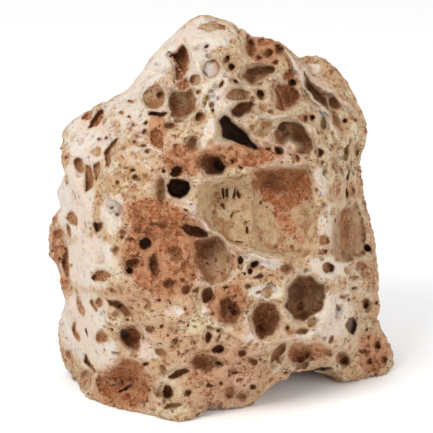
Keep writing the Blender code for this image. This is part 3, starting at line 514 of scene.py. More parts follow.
# Ramps: between which values they run, and from what to what, or else from 0 to 1
CREST_ON_RUST, CREST_SHOWN = (0.25, 0.8, 0, 0.75), (0.3, 1)
CREST_RAGGED, CREST_OFF_RUST = (0.4, 0.6, 0.1, 0.6), (0.3, 0.7, 1, 0.1)
PIT_SHADE, DEEP_SHADE, LESS_IN_WHITE = (0.25, 1, 0, 0.72), (0.2, 1, 0, 0.35), (0.2, 0.8, 1, 0.5)
SPECK_SPACING = 1.7
SPECK_EDGE, SPECK_AREAS, SPECKS_IN_WHITE = (0.14, 0.28, 1, 0), (0.48, 0.6), (0.2, 0.7, 1, 0.15)
BROWN_SHADE, HOLE_SHADE = (0.08, 0.7, 0, 0.88), (0.5, 0.95, 0, 0.95)
ROUGHNESS = (0.3, 0.7, 0.75, 0.95)
SPECULAR = 0.25
GRAINY_HEIGHT, SPECK_DEPTH, BUMP_HEIGHT = 0.7, 1.2, 1.1

# The studio: each light's place, size and power, all aimed at the middle of the rock, in metres and watts
SKY_STRENGTH = 0.88
FLOOR_SIDE = 6.0
FLOOR_ROUGHNESS = 0.9
LIGHTS = {"key": ((-0.55, -0.7, 0.95), 0.5, 10), "fill": ((0.9, -0.8, 0.5), 0.9, 5)}
LIGHT_AIM = (0, 0, 0.09)


def linear(colour):
    """A colour of 0 to 255 a channel in the photo, as Blender takes the stone's own."""
    share = [channel / 255 for channel in colour]
    lit = [((c + 0.055) / 1.055) ** 2.4 if c > 0.04045 else c / 12.92 for c in share]
    return tuple(c / LIGHT_EXCESS for c in lit) + (1.0,)


def smooth_step(low, high, value):
    """0 up to low, 1 from high on, and smooth between."""
    share = np.clip((value - low) / (high - low), 0, 1)
    return share * share * (3 - 2 * share)


class Noise:
    """Smooth noise from -1 to 1, the same each run."""
    SIDE = 32

    def __init__(self, seed):
        random = np.random.default_rng(seed)
        self.table = random.uniform(-1, 1, (self.SIDE,) * 3).astype(np.float32)

    def __call__(self, points, wavelength):
        place = points / wavelength
        corner = np.floor(place)
        part = (place - corner).astype(np.float32)
        part = part * part * (3 - 2 * part)
        low = corner.astype(np.int32) % self.SIDE
        high = (low + 1) % self.SIDE
        total = np.zeros(len(points), np.float32)
        for x_end in (0, 1):
            x = (low, high)[x_end][:, 0]
            x_share = part[:, 0] if x_end else 1 - part[:, 0]
            for y_end in (0, 1):
                y = (low, high)[y_end][:, 1]
                y_share = part[:, 1] if y_end else 1 - part[:, 1]
                near = self.table[x, y, low[:, 2]]
                far = self.table[x, y, high[:, 2]]
                total += x_share * y_share * (near + (far - near) * part[:, 2])
        return total

    def layered(self, points, wavelength, layers=3):
        """The noise with finer layers of it on top, each half as long and half as high."""
        total = sum(self(points + 37.0 * n, wavelength / 2 ** n) / 2 ** n for n in range(layers))
        return total / (2 - 2 ** (1 - layers))

    def lumps(self, points, wavelength, layers=2):
        """Round lumps with sharp creases between them, about 0 on the whole."""
        total = sum(abs(self(points + 53.0 * n, wavelength / 2 ** n)) / LUMP_FALL ** n for n in range(layers))
        return total / sum(1 / LUMP_FALL ** n for n in range(layers)) - CREASE


def on_photo(points):
    """Where points are seen: photo x, photo y, and their distance from the eye along the view, in mm."""
    away = points - EYE
    depth = away @ VIEW_FORWARD
    scale = VIEW_DISTANCE / depth / MM_PER_PIXEL
    x = PHOTO_SIDE / 2 + (away @ VIEW_RIGHT) * scale
    y = PHOTO_SIDE / 2 - (away @ VIEW_UP) * scale
    return x, y, depth


def sample_map(values, x, y):
    """A map's value at photo pixels, between its cells' middles."""
    column = np.clip(x * MAP_CELLS_PER_PIXEL - 0.5, 0, MAP_SIDE - 1.001)
    row = np.clip(y * MAP_CELLS_PER_PIXEL - 0.5, 0, MAP_SIDE - 1.001)
    left, top = column.astype(np.int32), row.astype(np.int32)
    across, down = (column - left).astype(np.float32), (row - top).astype(np.float32)
    upper = values[top, left] * (1 - across) + values[top, left + 1] * across
    lower = values[top + 1, left] * (1 - across) + values[top + 1, left + 1] * across
    return upper * (1 - down) + lower * down


def blur(values, sigma):
    """Gaussian blur of an array along all its axes, sigma in cells."""
    reach = max(1, int(math.ceil(2.5 * sigma)))
    weights = np.exp(-0.5 * (np.arange(-reach, reach + 1) / sigma) ** 2).astype(np.float32)
    weights /= weights.sum()
    for axis in range(values.ndim):
        size = values.shape[axis]
        edges = [(reach, reach) if a == axis else (0, 0) for a in range(values.ndim)]
        padded = np.pad(values, edges, mode="edge")
        total = np.zeros_like(values)
        for step, weight in enumerate(weights):
            part = [slice(None)] * values.ndim
            part[axis] = slice(step, step + size)
            total += weight * padded[tuple(part)]
        values = total
    return values


def slide(values, reach, pick):
    """The least or the most value (pick) of a square window round each cell of a map."""
    for axis in (0, 1):
        edges = [(reach, reach) if a == axis else (0, 0) for a in (0, 1)]
        padded = np.pad(values, edges, mode="edge")
        best = values
        for step in range(2 * reach + 1):
            part = [slice(None), slice(None)]
            part[axis] = slice(step, step + values.shape[axis])
            best = pick(best, padded[tuple(part)])
        values = best
    return values


class Grid:
    """Distances to the rock's surface in mm, less than 0 inside it."""

    def __init__(self, node):
        mesh = node.data
        corners = np.zeros(len(mesh.vertices) * 3, np.float32)
        mesh.vertices.foreach_get("co", corners)
        self.points = corners.reshape(-1, 3) * METRES_TO_MM
        self.triangles = triangles_of(mesh)
        self.first = np.floor(self.points.min(0) / VOXEL).astype(int) - MARGIN
        last = np.ceil(self.points.max(0) / VOXEL).astype(int) + MARGIN
        level_set = openvdb.FloatGrid.createLevelSetFromPolygons(
            self.points,
            triangles=self.triangles.astype(np.uint32),
            transform=openvdb.createLinearTransform(voxelSize=VOXEL),
            halfWidth=BAND / VOXEL,
        )
        self.values = np.zeros(last - self.first + 1, np.float32)
        level_set.copyToArray(self.values, ijk=tuple(int(i) for i in self.first))

    def places(self, cells):
        """The points of cells, given as three index arrays."""
        return (np.stack(cells, axis=-1) + self.first) * VOXEL

    def at(self, points, values=None, stride=1):
        """Values at points, between the grid's own or those of every few cells."""
        values = self.values if values is None else values
        place = (points / VOXEL - self.first) / stride
        low = np.clip(np.floor(place).astype(int), 0, np.array(values.shape) - 2)
        part = (place - low).astype(np.float32)
        total = np.zeros(len(points), np.float32)
        for corner in np.ndindex(2, 2, 2):
            share = np.prod(np.where(corner, part, 1 - part), axis=1)
            total += share * values[tuple((low + corner).T)]
        return total

    def sunk(self, points, size, stride=1):
        """How deep points lie in hollows of about a size, in mm, and less than 0 on crests."""
        coarse = self.values[::stride, ::stride, ::stride]
        return -self.at(points, blur(coarse, size / (VOXEL * stride)), stride)

    def near(self, reach):
        """Cells within reach of the surface."""
        return np.nonzero(np.abs(self.values) < reach)


def seen_depths(grid):
    """For each photo pixel, how far the rock is from the eye, and NO_STONE beside it."""
    tree = BVHTree.FromPolygons([Vector(p) for p in grid.points], grid.triangles.tolist())
    depths = np.full((PHOTO_SIDE, PHOTO_SIDE), NO_STONE, np.float32)
    eye = Vector(EYE)
    for row in range(PHOTO_SIDE):
        up = (PHOTO_SIDE / 2 - row - 0.5) * MM_PER_PIXEL
        for column in range(PHOTO_SIDE):
            across = (column + 0.5 - PHOTO_SIDE / 2) * MM_PER_PIXEL
            ray = Vector(VIEW_FORWARD * VIEW_DISTANCE + VIEW_RIGHT * across + VIEW_UP * up)
            hit = tree.ray_cast(eye, ray)[0]
            if hit is not None:
                depths[row, column] = (hit - eye).dot(Vector(VIEW_FORWARD))
    return depths


def filled_up(depths, reach):
    """The depths with pits narrower than twice the reach filled up, and carried on past the edge."""
    stone = depths < NO_STONE
    filled = slide(slide(depths, reach, np.minimum), reach, np.maximum)
    filled = np.where(stone, np.minimum(depths, filled), 0)
    # Each blur leaves out what isn't stone, so that it doesn't pull the edges back
    for spread in EDGE_BLURS:
        share = blur(stone.astype(np.float32), spread)
        smooth = blur(filled * stone, spread) / np.maximum(share, 1e-4)
        filled = np.where(stone & (spread > EDGE_BLURS[0]), filled, smooth)
        stone = stone | (share > LEAST_STONE)
    return np.where(stone, filled, np.median(depths[depths < NO_STONE]))


def lift(values, part, least):
    """Raises part of a map to at least some values."""
    values[part] = np.maximum(values[part], least)


class Relief:
    """The map of the front: how far each cell is carved or raised, in mm, and what lies in it."""

    def __init__(self):
        middle = (np.arange(MAP_SIDE, dtype=np.float32) + 0.5) / MAP_CELLS_PER_PIXEL
        x, y = np.meshgrid(middle, middle)
        flat = np.stack((x.ravel(), y.ravel(), np.zeros(x.size, np.float32)), axis=1)
        warp = Noise(5)
        # Every outline wanders a little, so that no pit is a true ellipse
        self.x = x + sum(size * warp(flat + 50 * size, width) for size, width in WANDER).reshape(x.shape)
        self.y = y + sum(size * warp(flat + 91 + 50 * size, width) for size, width in WANDER).reshape(x.shape)
        self.open = self.paint(OPEN_GROUND)
        # A wall is steeper here and softer there
        self.softness = 2.0 ** warp(flat + 300, SOFTNESS_LENGTH).reshape(x.shape)
        self.carved, self.raised, self.dips, self.rust = np.zeros((4, *x.shape), np.float32)
        self.dark, self.floor, self.whole, self.wide = np.zeros((4, *x.shape), np.float32)

    def window(self, low_x, high_x, low_y, high_y):
        """The rows and columns of the map round a form that reaches so far."""
        lows = np.array((low_y, low_x)) - WINDOW_MARGIN
        highs = np.array((high_y, high_x)) + WINDOW_MARGIN
        ends = np.clip(np.array((lows, highs)) * MAP_CELLS_PER_PIXEL, 0, MAP_SIDE).astype(int)
        return tuple(slice(*pair) for pair in ends.T)

    def round(self, place, reach):
        return self.window(place.x - reach, place.x + reach, place.y - reach, place.y + reach)

    def carve(self, part, inside, pit, middle, reach):
        """Carves where inside, the pixels in from the rim, is more than nothing, and marks the painted shade
        of the hollow, darker on the side away from the light.
        """
        way = math.radians(pit.way)
        along = (self.x[part] - middle[0]) * math.cos(way) + (self.y[part] - middle[1]) * math.sin(way)
        slant = 1 - pit.lean * (1 - np.clip(along / reach, -1, 1)) / 2
        share = np.clip(inside / (pit.wall * self.softness[part]), 0, 1)
        share = np.sqrt(share * (2 - share)) * slant
        skirt = min(pit.deep * SKIRT_SHARE, SKIRT_MOST) * (1 + self.open[part])
        skirt = skirt * smooth_step(-SKIRT, 1, inside) ** SKIRT_CURVE
        lift(self.carved, part, pit.deep * share + skirt)
        lift(self.rust, part, pit.rust * smooth_step(*RUST_EDGE, inside))
        across, down = self.x[part] - middle[0], self.y[part] - middle[1]
        shaded = np.clip((across * math.cos(SHADED_WAY) + down * math.sin(SHADED_WAY)) / reach, -1, 1)
        # Painted shade: deeper hollows are darker, and the side where light falls in is lighter
        painted_shade = max(pit.dark, SHADE_FROM_DEPTH * smooth_step(*SHADE_DEPTHS, pit.deep))
        lit = LIT_SIDE * (1 - shaded) / 2 * (1 - smooth_step(*EVENLY_DARK, painted_shade))
        lift(self.dark, part, painted_shade * share * (1 - lit))
        lift(self.floor, part, smooth_step(*FLOOR_EDGE, inside))
        whole = smooth_step(*SKIRT_EDGE, inside)
        lift(self.whole, part, whole)
        return whole

    def turned(self, part, place):
        """How far cells lie from a place's middle, in shares of half its width and half its height."""
        turn = math.radians(place.turn)
        x, y = self.x[part] - place.x, self.y[part] - place.y
        across = (x * math.cos(turn) + y * math.sin(turn)) / (place.wide / 2)
        down = (y * math.cos(turn) - x * math.sin(turn)) / (place.high / 2)
        return np.hypot(across, down)

    def paint(self, rows):
        """A map of how strong some patches are."""
        values = np.zeros(self.x.shape, np.float32)
        for patch in (Patch(*row) for row in rows):
            part = self.round(patch, max(patch.wide, patch.high) * PATCH_REACH)
            share = 1 - smooth_step(*PATCH_EDGE, self.turned(part, patch))
            lift(values, part, patch.amount * share)
        return values

    def hollow(self, pit):
        reach = max(pit.wide, pit.high) / 2
        part = self.round(pit, reach)
        inside = (1 - self.turned(part, pit)) * min(pit.wide, pit.high) / 2
        self.carve(part, inside, pit, (pit.x, pit.y), reach)

    def distance_to_line(self, part, line):
        x, y = self.x[part], self.y[part]
        best = np.full(x.shape, 1e6, np.float32)
        for (ax, ay), (bx, by) in zip(line, line[1:]):
            length = (bx - ax) ** 2 + (by - ay) ** 2
            along = np.clip(((x - ax) * (bx - ax) + (y - ay) * (by - ay)) / length, 0, 1)
            best = np.minimum(best, np.hypot(x - ax - along * (bx - ax), y - ay - along * (by - ay)))
        return best

    def box_of(self, line):
        xs, ys = [p[0] for p in line], [p[1] for p in line]
        return self.window(min(xs), max(xs), min(ys), max(ys))

    def cut(self, cut):
        line = cut.outline + cut.outline[:1]
        part = self.box_of(line)
        x, y = self.x[part], self.y[part]
        within = np.zeros(x.shape, bool)
        for (ax, ay), (bx, by) in zip(line, line[1:]):
            if ay != by:
                within ^= ((ay > y) != (by > y)) & (x < (bx - ax) * (y - ay) / (by - ay) + ax)
        distance = self.distance_to_line(part, line)
        corners = np.array(cut.outline)
        middle = (corners.min(0) + corners.max(0)) / 2
        reach = (corners.max(0) - corners.min(0)).max() / 2
        whole = self.carve(part, np.where(within, distance, -distance), cut, middle, reach)
        if reach > RIM_FILL and cut.deep > SHALLOW_RECESS:
            lift(self.wide, part, whole)

    def dip(self, dip):
        part = self.round(dip, max(dip.wide, dip.high) / 2)
        self.dips[part] += dip.deep * (1 - smooth_step(*DIP_EDGE, self.turned(part, dip)))
        lift(self.whole, part, 1 - smooth_step(*DIP_WORKED, self.turned(part, dip)))

    def ridge(self, ridge):
        part = self.box_of(ridge.line)
        across = self.distance_to_line(part, ridge.line) / (ridge.wide / 2)
        crest = 1 - smooth_step(0, 1, across)
        lift(self.raised, part, ridge.high * crest)
        lift(self.whole, part, smooth_step(*RIDGE_WORKED, crest))


def make_relief():
    relief = Relief()
    for row in HOLLOWS + tuple(middle + DOT for middle in DOTS):
        relief.hollow(Hollow(*row))
    for row in CUTS:
        relief.cut(Cut(*row))
    for row in RIDGES:
        relief.ridge(Ridge(*row))
    for row in DIPS:
        relief.dip(Dip(*row))
    relief.dark *= 1 - PALE_TOPS * smooth_step(*PALE_HEIGHTS, relief.raised)
    relief.carved += relief.dips
    return relief


def rim_map(depths, relief):
    """Where the front's surface would be if none of its hollows were there, as a map."""
    cell = np.ones((MAP_CELLS_PER_PIXEL,) * 2, np.float32)
    narrow, wide = (np.kron(filled_up(depths, reach), cell) for reach in (RIM_FILL, WIDE_FILL))
    return blur(narrow + (wide - narrow) * relief.wide, MAP_CELLS_PER_PIXEL)


def inner_share(depths):
    """1 on the front and 0 close to its outline, as a map."""
    stone = np.kron((depths < NO_STONE).astype(np.float32), np.ones((MAP_CELLS_PER_PIXEL,) * 2, np.float32))
    return smooth_step(*OUTLINE_SHARES, blur(stone, OUTLINE_BLUR * MAP_CELLS_PER_PIXEL))


def carve_front(grid, rim, inner, relief):
    """Presses the relief map into the front, along the lines of sight."""
    worked = relief.whole * inner
    for i in range(grid.values.shape[0]):
        cells = np.indices((1,) + grid.values.shape[1:]).reshape(3, -1)
        cells[0] = i
        places = grid.places(cells)
        x, y, depth = on_photo(places)
        behind = depth - sample_map(rim, x, y)
        in_reach = (behind > -TALLEST_RIDGE - BEHIND_FLOOR) & (behind < DEEPEST_HOLLOW + BEHIND_FLOOR)
        near = np.nonzero(in_reach)[0]
        x, y, behind = x[near], y[near], behind[near].astype(np.float32)
        strength = sample_map(worked, x, y) * smooth_step(*BASE_KEPT, places[near, 2])
        rise = sample_map(relief.raised, x, y) - sample_map(relief.carved, x, y)
        values = grid.values[i].ravel()
        now = values[near]
        shaped = np.where(behind < BEHIND_FLOOR - np.minimum(rise, 0), -(behind + rise), now)
        values[near] = now + (shaped - now) * strength
        grid.values[i] = values.reshape(grid.values.shape[1:])


class Regions:
    """How rusty, white, smooth, dark with painted shade and yellow the stone is at any point, from 0 to 1."""

    def __init__(self, rim, relief):
        self.rim, self.relief = rim, relief
        self.rust = relief.paint(RUST_PATCHES)
        self.white = relief.paint(WHITE_PATCHES) * (1 - relief.floor)
        self.white = np.maximum(self.white, relief.paint(PALE_FLOORS))
        smooth_floors = relief.floor * smooth_step(*RUSTY_FLOOR, relief.rust)
        self.smooth = np.maximum(relief.paint(SMOOTH_PATCHES), smooth_floors)
        self.ochre = relief.paint(OCHRE_PATCHES)
        self.noise = Noise(23)

    def __call__(self, points):
        x, y, depth = on_photo(points)
        sunk = depth - sample_map(self.rim, x, y) - sample_map(self.relief.carved, x, y)
        front = smooth_step(*FRONT_DEPTHS, sunk)
        hidden_rust = smooth_step(*HIDDEN_RUST[1], self.noise.layered(points, HIDDEN_RUST[0]))
        hidden_white = smooth_step(*HIDDEN_WHITE[1], self.noise.layered(points + 400, HIDDEN_WHITE[0]))
        in_hole = sample_map(self.relief.rust, x, y) * front
        found = {
            "rust": np.maximum(sample_map(self.rust, x, y) * front, in_hole) + hidden_rust * (1 - front),
            "white": sample_map(self.white, x, y) * front + hidden_white * (1 - front),
            "smooth": sample_map(self.smooth, x, y) * front,
            "dark": sample_map(self.relief.dark, x, y) * front,
            "ochre": sample_map(self.ochre, x, y) * front,
        }
        found["white"] = found["white"] * (1 - in_hole)
        return found


def normals_at(grid, points):
    steps = np.eye(3) * VOXEL
    slope = np.stack([grid.at(points + step) - grid.at(points - step) for step in steps], axis=1)
    return slope / np.maximum(np.linalg.norm(slope, axis=1, keepdims=True), 1e-6)


def pore_places(grid, regions, pores, random):
    """Random points of the surface where pores of a kind may be."""
    cells = np.nonzero(np.abs(grid.values) < VOXEL / 2)
    chosen = random.permutation(len(cells[0]))[: pores.count * PORE_TRIES]
    points = grid.places([c[chosen] for c in cells]).astype(float)
    kind = regions(points)
    keep = 1 - kind["white"] * (1 - PORES_IN_WHITE)
    keep = np.minimum(keep, 1 - kind["rust"] * (1 - PORES_IN_RUST))
    keep = np.minimum(keep, 1 - kind["smooth"] * (1 - PORES_WHERE_SMOOTH))
    x, y, depth = on_photo(points)
    behind = smooth_step(*PORES_BEHIND, depth - sample_map(regions.rim, x, y))
    keep = keep * np.maximum(pores.in_front, behind)
    return points[random.random(len(points)) < keep][: pores.count]


def random_turn(random):
    """A random turn that also stretches."""
    turn, _ = np.linalg.qr(random.normal(size=(3, 3)))
    return np.diag(random.uniform(*PORE_STRETCH, 3)) @ turn


def cut_pores(grid, regions):
    """Cuts pores of uneven shapes, with thin walls left where two of them meet."""
    random = np.random.default_rng(PORE_SEED)
    for pores in (Pores(*row) for row in PORES):
        points = pore_places(grid, regions, pores, random)
        normals = normals_at(grid, points)
        radii = random.uniform(pores.least, pores.greatest, len(points))
        first = np.full(grid.values.shape, -BAND, np.float32)
        second = first.copy()
        for middle, radius in zip(points - normals * (radii * pores.sunk)[:, None], radii):
            reach = radius / PORE_STRETCH[0] + 2 * VOXEL
            low = np.maximum(np.floor((middle - reach) / VOXEL).astype(int) - grid.first, 0)
            high = np.minimum(np.ceil((middle + reach) / VOXEL).astype(int) - grid.first, grid.values.shape)
            block = tuple(slice(*ends) for ends in zip(low, high))
            away = np.ogrid[block]
            away = [(away[n] + grid.first[n]) * VOXEL - middle[n] for n in range(3)]
            turn = random_turn(random)
            u, v, w = (abs(row[0] * away[0] + row[1] * away[1] + row[2] * away[2]) for row in turn)
            round_one = np.sqrt(u * u + v * v + w * w)
            square_one = np.maximum(np.maximum(u, v), w) * PORE_CORNERS
            new = (radius - (round_one + square_one) / 2).astype(np.float32)
            np.maximum(second[block], np.minimum(first[block], new), out=second[block])
            np.maximum(first[block], new, out=first[block])
        cavity = np.minimum(first, (first - second - PORE_WALL) / 2)
        np.maximum(grid.values, cavity, out=grid.values)


def roughen(grid, regions):
    """Adds the fine unevenness of each kind of stone."""
    cells = grid.near(ROUGH_REACH)
    points = grid.places(cells)
    kind = regions(points)
    noise = Noise(71)
    # Each use of the noise is shifted, so that no two of them are alike
    rough = -TAN_LUMPS[1] * noise.lumps(points, TAN_LUMPS[0])
    rough += TAN_GRAIN[1] * noise.layered(points + 90, TAN_GRAIN[0])
    white = WHITE_WAVES[1] * noise.layered(points + 200, WHITE_WAVES[0])
    rust = -RUST_LUMPS[1] * noise.lumps(points + 600, RUST_LUMPS[0])
    rust += RUST_GRAIN[1] * noise.layered(points + 350, RUST_GRAIN[0], 2)
    rough += (rust - rough) * kind["rust"]
    rough += (white - rough) * kind["white"] * (1 - kind["rust"])
    rough *= 1 - SMOOTH_LOSS * kind["smooth"] * (1 - SMOOTH_LOSS_IN_RUST * kind["rust"])
    swell = SWELLS[1] * noise.layered(points + 800, SWELLS[0], 2)
    swell *= 1 - (1 - LEAST_SWELL) * np.maximum(kind["smooth"], SWELL_LOSS_IN_WHITE * kind["white"])
    grid.values[cells] += rough + swell


def stand_flat(grid):
    """Keeps the base flat on the ground."""
    height = (np.arange(grid.values.shape[2]) + grid.first[2]) * VOXEL
    grid.values = np.maximum(grid.values, -height.astype(np.float32))


def largest_piece(points, triangles):
    """Leaves out crumbs that hang free and bubbles closed inside."""
    label = np.arange(len(points))
    while True:
        least = label[triangles].min(axis=1)
        before = label.copy()
        np.minimum.at(label, triangles.ravel(), np.repeat(least, 3))
        label = label[label]
        if (label == before).all():
            break
    names, counts = np.unique(label[triangles[:, 0]], return_counts=True)
    kept = triangles[label[triangles[:, 0]] == names[counts.argmax()]]
    used, renumbered = np.unique(kept, return_inverse=True)
    return points[used], renumbered.reshape(-1, 3)


def surface(grid):
    level = openvdb.FloatGrid()
    level.background = BAND
    level.copyFromArray(grid.values)
    level.transform = openvdb.createLinearTransform(voxelSize=VOXEL)
    points, triangles, quads = level.convertToPolygons(isovalue=0, adaptivity=0)
    halves = np.concatenate((quads[:, [0, 1, 2]], quads[:, [0, 2, 3]], triangles)).astype(np.int64)
    points = points + (grid.first * VOXEL).astype(np.float32)
    # Blender wants the corners in the other order, for faces that look outwards
    a, b, c = (points[halves[:, n]].astype(float) for n in range(3))
    if np.einsum("ij,ij->i", a, np.cross(b, c)).sum() < 0:
        halves = halves[:, ::-1]
    return largest_piece(points, halves)


def new_mesh(name, points, faces):
    mesh = bpy.data.meshes.new(name)
    mesh.vertices.add(len(points))
    mesh.vertices.foreach_set("co", points.astype(np.float32).ravel())
    mesh.loops.add(faces.size)
    mesh.loops.foreach_set("vertex_index", faces.astype(np.int32).ravel())
    mesh.polygons.add(len(faces))
    mesh.polygons.foreach_set("loop_start", np.arange(0, faces.size, faces.shape[1], dtype=np.int32))
    mesh.update(calc_edges=True)
    mesh.validate()
    return mesh


def new_object(name, mesh):
    obj = bpy.data.objects.new(name, mesh)
    bpy.context.scene.collection.objects.link(obj)
    return obj


def vertices_of(mesh):
    places = np.zeros(len(mesh.vertices) * 3, np.float32)
    mesh.vertices.foreach_get("co", places)
    return places.reshape(-1, 3)


def simplified(points, triangles):
    """The mesh with fewer faces, in mm."""
    obj = new_object("whole", new_mesh("whole", points, triangles))
    fewer = obj.modifiers.new("Fewer faces", "DECIMATE")
    fewer.ratio = ROCK_TRIANGLES / len(triangles)
    graph = bpy.context.evaluated_depsgraph_get()
    mesh = bpy.data.meshes.new_from_object(obj.evaluated_get(graph))
    bpy.data.objects.remove(obj)
    return mesh


def triangles_of(mesh):
    mesh.calc_loop_triangles()
    corners = np.zeros(len(mesh.loop_triangles) * 3, np.int32)
    mesh.loop_triangles.foreach_get("vertices", corners)
    return corners.reshape(-1, 3)


def set_attribute(mesh, name, values):
    layer = mesh.attributes.new(name, "FLOAT", "POINT")
    layer.data.foreach_set("value", values.astype(np.float32))


def mark_stone(mesh, grid, regions):
    """Stores what the stone is like at each vertex, and how deep in pits or high on crests it lies, for its
    material to read; the material paints shade and highlight from these.
    """
    points = vertices_of(mesh) * METRES_TO_MM
    found = regions(points)
    fine, middle, wide = (grid.sunk(points, *blur_and_stride) for blur_and_stride in PIT_SIZES)
    found["pit"] = np.maximum(smooth_step(*FINE_PIT, fine), smooth_step(*MIDDLE_PIT, middle))
    fine_crest = FINE_CREST_SHARE * smooth_step(*FINE_CREST, -fine)
    found["crest"] = np.maximum(fine_crest, smooth_step(*MIDDLE_CREST, -middle))
    found["deep"] = smooth_step(*WIDE_PIT, wide)
    for name, values in found.items():
        set_attribute(mesh, name, values)


def make_halves(whole, mark):
    """The rock's front and its back as two pieces, few enough triangles each and shaded as one."""
    points, corners = vertices_of(whole), triangles_of(whole)
    normals = np.zeros(len(points) * 3, np.float32)
    whole.vertex_normals.foreach_get("vector", normals)
    normals = normals.reshape(-1, 3)
    depth = on_photo(points)[2][corners].mean(axis=1)
    behind = depth > np.median(depth)
    pieces = []
    for name, chosen in (("rock_front", ~behind), ("rock_back", behind)):
        used, faces = np.unique(corners[chosen], return_inverse=True)
        mesh = new_mesh(name, points[used] * MM, faces.reshape(-1, 3))
        mark(mesh)
        mesh.shade_smooth()
        mesh.normals_split_custom_set_from_vertices(normals[used])
        pieces.append(new_object(name, mesh))
    return pieces


def make_rock(node):
    grid = Grid(node)
    grid.values = blur(grid.values, FACET_BLUR / VOXEL)
    depths = seen_depths(grid)
    relief = make_relief()
    rim = rim_map(depths, relief)
    regions = Regions(rim, relief)
    carve_front(grid, rim, inner_share(depths), relief)
    cut_pores(grid, regions)
    roughen(grid, regions)
    stand_flat(grid)
    whole = simplified(*surface(grid))

    def mark(mesh):
        mark_stone(mesh, grid, regions)

    return make_halves(whole, mark) + [make_crumbs(whole, regions, mark)]


def make_crumbs(whole, regions, mark):
    """Grains of clay half sunk in the rusty stone."""
    random = np.random.default_rng(CRUMB_SEED)
    places, corners = vertices_of(whole), triangles_of(whole)
    a, b, c = (places[corners[:, n]] for n in range(3))
    normal = np.cross(b - a, c - a)
    area = np.linalg.norm(normal, axis=1)
    normal = normal / np.maximum(area, 1e-6)[:, None]
    kind = regions(a.astype(float))
    weight = area * smooth_step(*CRUMB_RUST, kind["rust"]) * (1 - kind["dark"])
    weight *= np.where(normal[:, 1] < LOOKS_BACK, 1, CRUMBS_BEHIND)
    chosen = random.choice(len(area), CRUMBS, p=weight / weight.sum())
    radius = CRUMB_SIZES[0] + (CRUMB_SIZES[1] - CRUMB_SIZES[0]) * random.random(CRUMBS) ** 2
    middle = (a + b + c)[chosen] / 3 - normal[chosen] * (radius * CRUMB_SUNK)[:, None]
    middle[:, 2] = np.maximum(middle[:, 2], CRUMB_SIZES[1] * CRUMB_LIFT)
    ball = bmesh.new()
    bmesh.ops.create_icosphere(ball, subdivisions=1, radius=1)
    shape = np.array([v.co for v in ball.verts])
    faces = np.array([[v.index for v in face.verts] for face in ball.faces])
    ball.free()
    uneven = random.uniform(*CRUMB_UNEVEN, (CRUMBS, len(shape), 1))
    uneven = uneven * random.uniform(*CRUMB_STRETCH, (CRUMBS, 1, 3))
    points = middle[:, None, :] + shape[None] * uneven * radius[:, None, None]
    all_faces = faces[None] + (np.arange(CRUMBS) * len(shape))[:, None, None]
    mesh = new_mesh("clay_crumbs", points.reshape(-1, 3) * MM, all_faces.reshape(-1, 3))
    mark(mesh)
    return new_object("clay_crumbs", mesh)


class Nodes:
    """A material's nodes, made and joined in short lines."""

    def __init__(self, name):
        self.material = bpy.data.materials.new(name)
        self.material.use_nodes = True
        self.tree = self.material.node_tree
        self.shader = self.tree.nodes["Principled BSDF"]
        self.place = self.tree.nodes.new("ShaderNodeTexCoord").outputs["Object"]

    def join(self, value, socket):
        if isinstance(value, bpy.types.NodeSocket):
            self.tree.links.new(value, socket)
        else:
            socket.default_value = value

    def attribute(self, name):
        node = self.tree.nodes.new("ShaderNodeAttribute")
        node.attribute_name = name
        return node.outputs["Fac"]

    @cache
    def noise(self, wavelength, detail):
        """Noise of about 0 to 1, its wavelength in millimetres."""
        node = self.tree.nodes.new("ShaderNodeTexNoise")
        self.join(self.place, node.inputs["Vector"])
        node.inputs["Scale"].default_value = 1 / (wavelength * MM)
        node.inputs["Detail"].default_value = detail
        node.inputs["Roughness"].default_value = NOISE_ROUGHNESS
        return node.outputs["Fac"]

    def cells(self, size):
        """The distance to the nearest of scattered points, in shares of their spacing."""
        node = self.tree.nodes.new("ShaderNodeTexVoronoi")
        self.join(self.place, node.inputs["Vector"])
        node.inputs["Scale"].default_value = 1 / (size * MM)
        return node.outputs["Distance"]

    def math(self, operation, *values):
        node = self.tree.nodes.new("ShaderNodeMath")
        node.operation = operation
        for value, socket in zip(values, node.inputs):
            self.join(value, socket)
        return node.outputs[0]

    def times(self, first, second):
        return self.math("MULTIPLY", first, second)

    def ramp(self, value, low, high, start=0.0, end=1.0):
        """start where value is low, end where it is high, and smooth between."""
        node = self.tree.nodes.new("ShaderNodeMapRange")
        node.interpolation_type = "SMOOTHSTEP"
        self.join(value, node.inputs["Value"])
        for name, limit in (("From Min", low), ("From Max", high), ("To Min", start), ("To Max", end)):
            node.inputs[name].default_value = limit
        return node.outputs["Result"]

    def mix(self, share, first, second):
        """Two colours mixed, each either made by nodes or given as the photo shows it."""
        node = self.tree.nodes.new("ShaderNodeMix")
        node.data_type = "RGBA"
        self.join(share, node.inputs["Factor"])
        for colour, name in ((first, "A"), (second, "B")):
            self.join(linear(colour) if isinstance(colour, tuple) else colour, node.inputs[name])
        return node.outputs["Result"]

    def spotted(self, ground, spots):
        """A ground with spots of other colours on it."""
        for colour, noise, low, high, most in spots:
            ground = self.mix(self.ramp(self.noise(*noise), low, high, 0.0, most), ground, colour)
        return ground

    def bump(self, height, distance):
        node = self.tree.nodes.new("ShaderNodeBump")
        self.join(height, node.inputs["Height"])
        node.inputs["Distance"].default_value = distance * MM
        node.inputs["Strength"].default_value = 1.0
        return node.outputs["Normal"]


def swayed(nodes, name, ragged, sway):
    """What a vertex value says, with edges broken up by noise."""
    return nodes.math("MULTIPLY_ADD", nodes.math("SUBTRACT", ragged, 0.5), sway, nodes.attribute(name))


def pore_shade_specks(nodes):
    """Where small dark specks lie, tiny pores darkened partly by clay and partly by painted shade: in some
    areas, and hardly in the white skin.
    """
    specks = nodes.ramp(nodes.cells(SPECK_SPACING), *SPECK_EDGE)
    specks = nodes.times(specks, nodes.ramp(nodes.noise(*SPECK_GROUPS), *SPECK_AREAS))
    return nodes.times(specks, nodes.ramp(nodes.attribute("white"), *SPECKS_IN_WHITE))


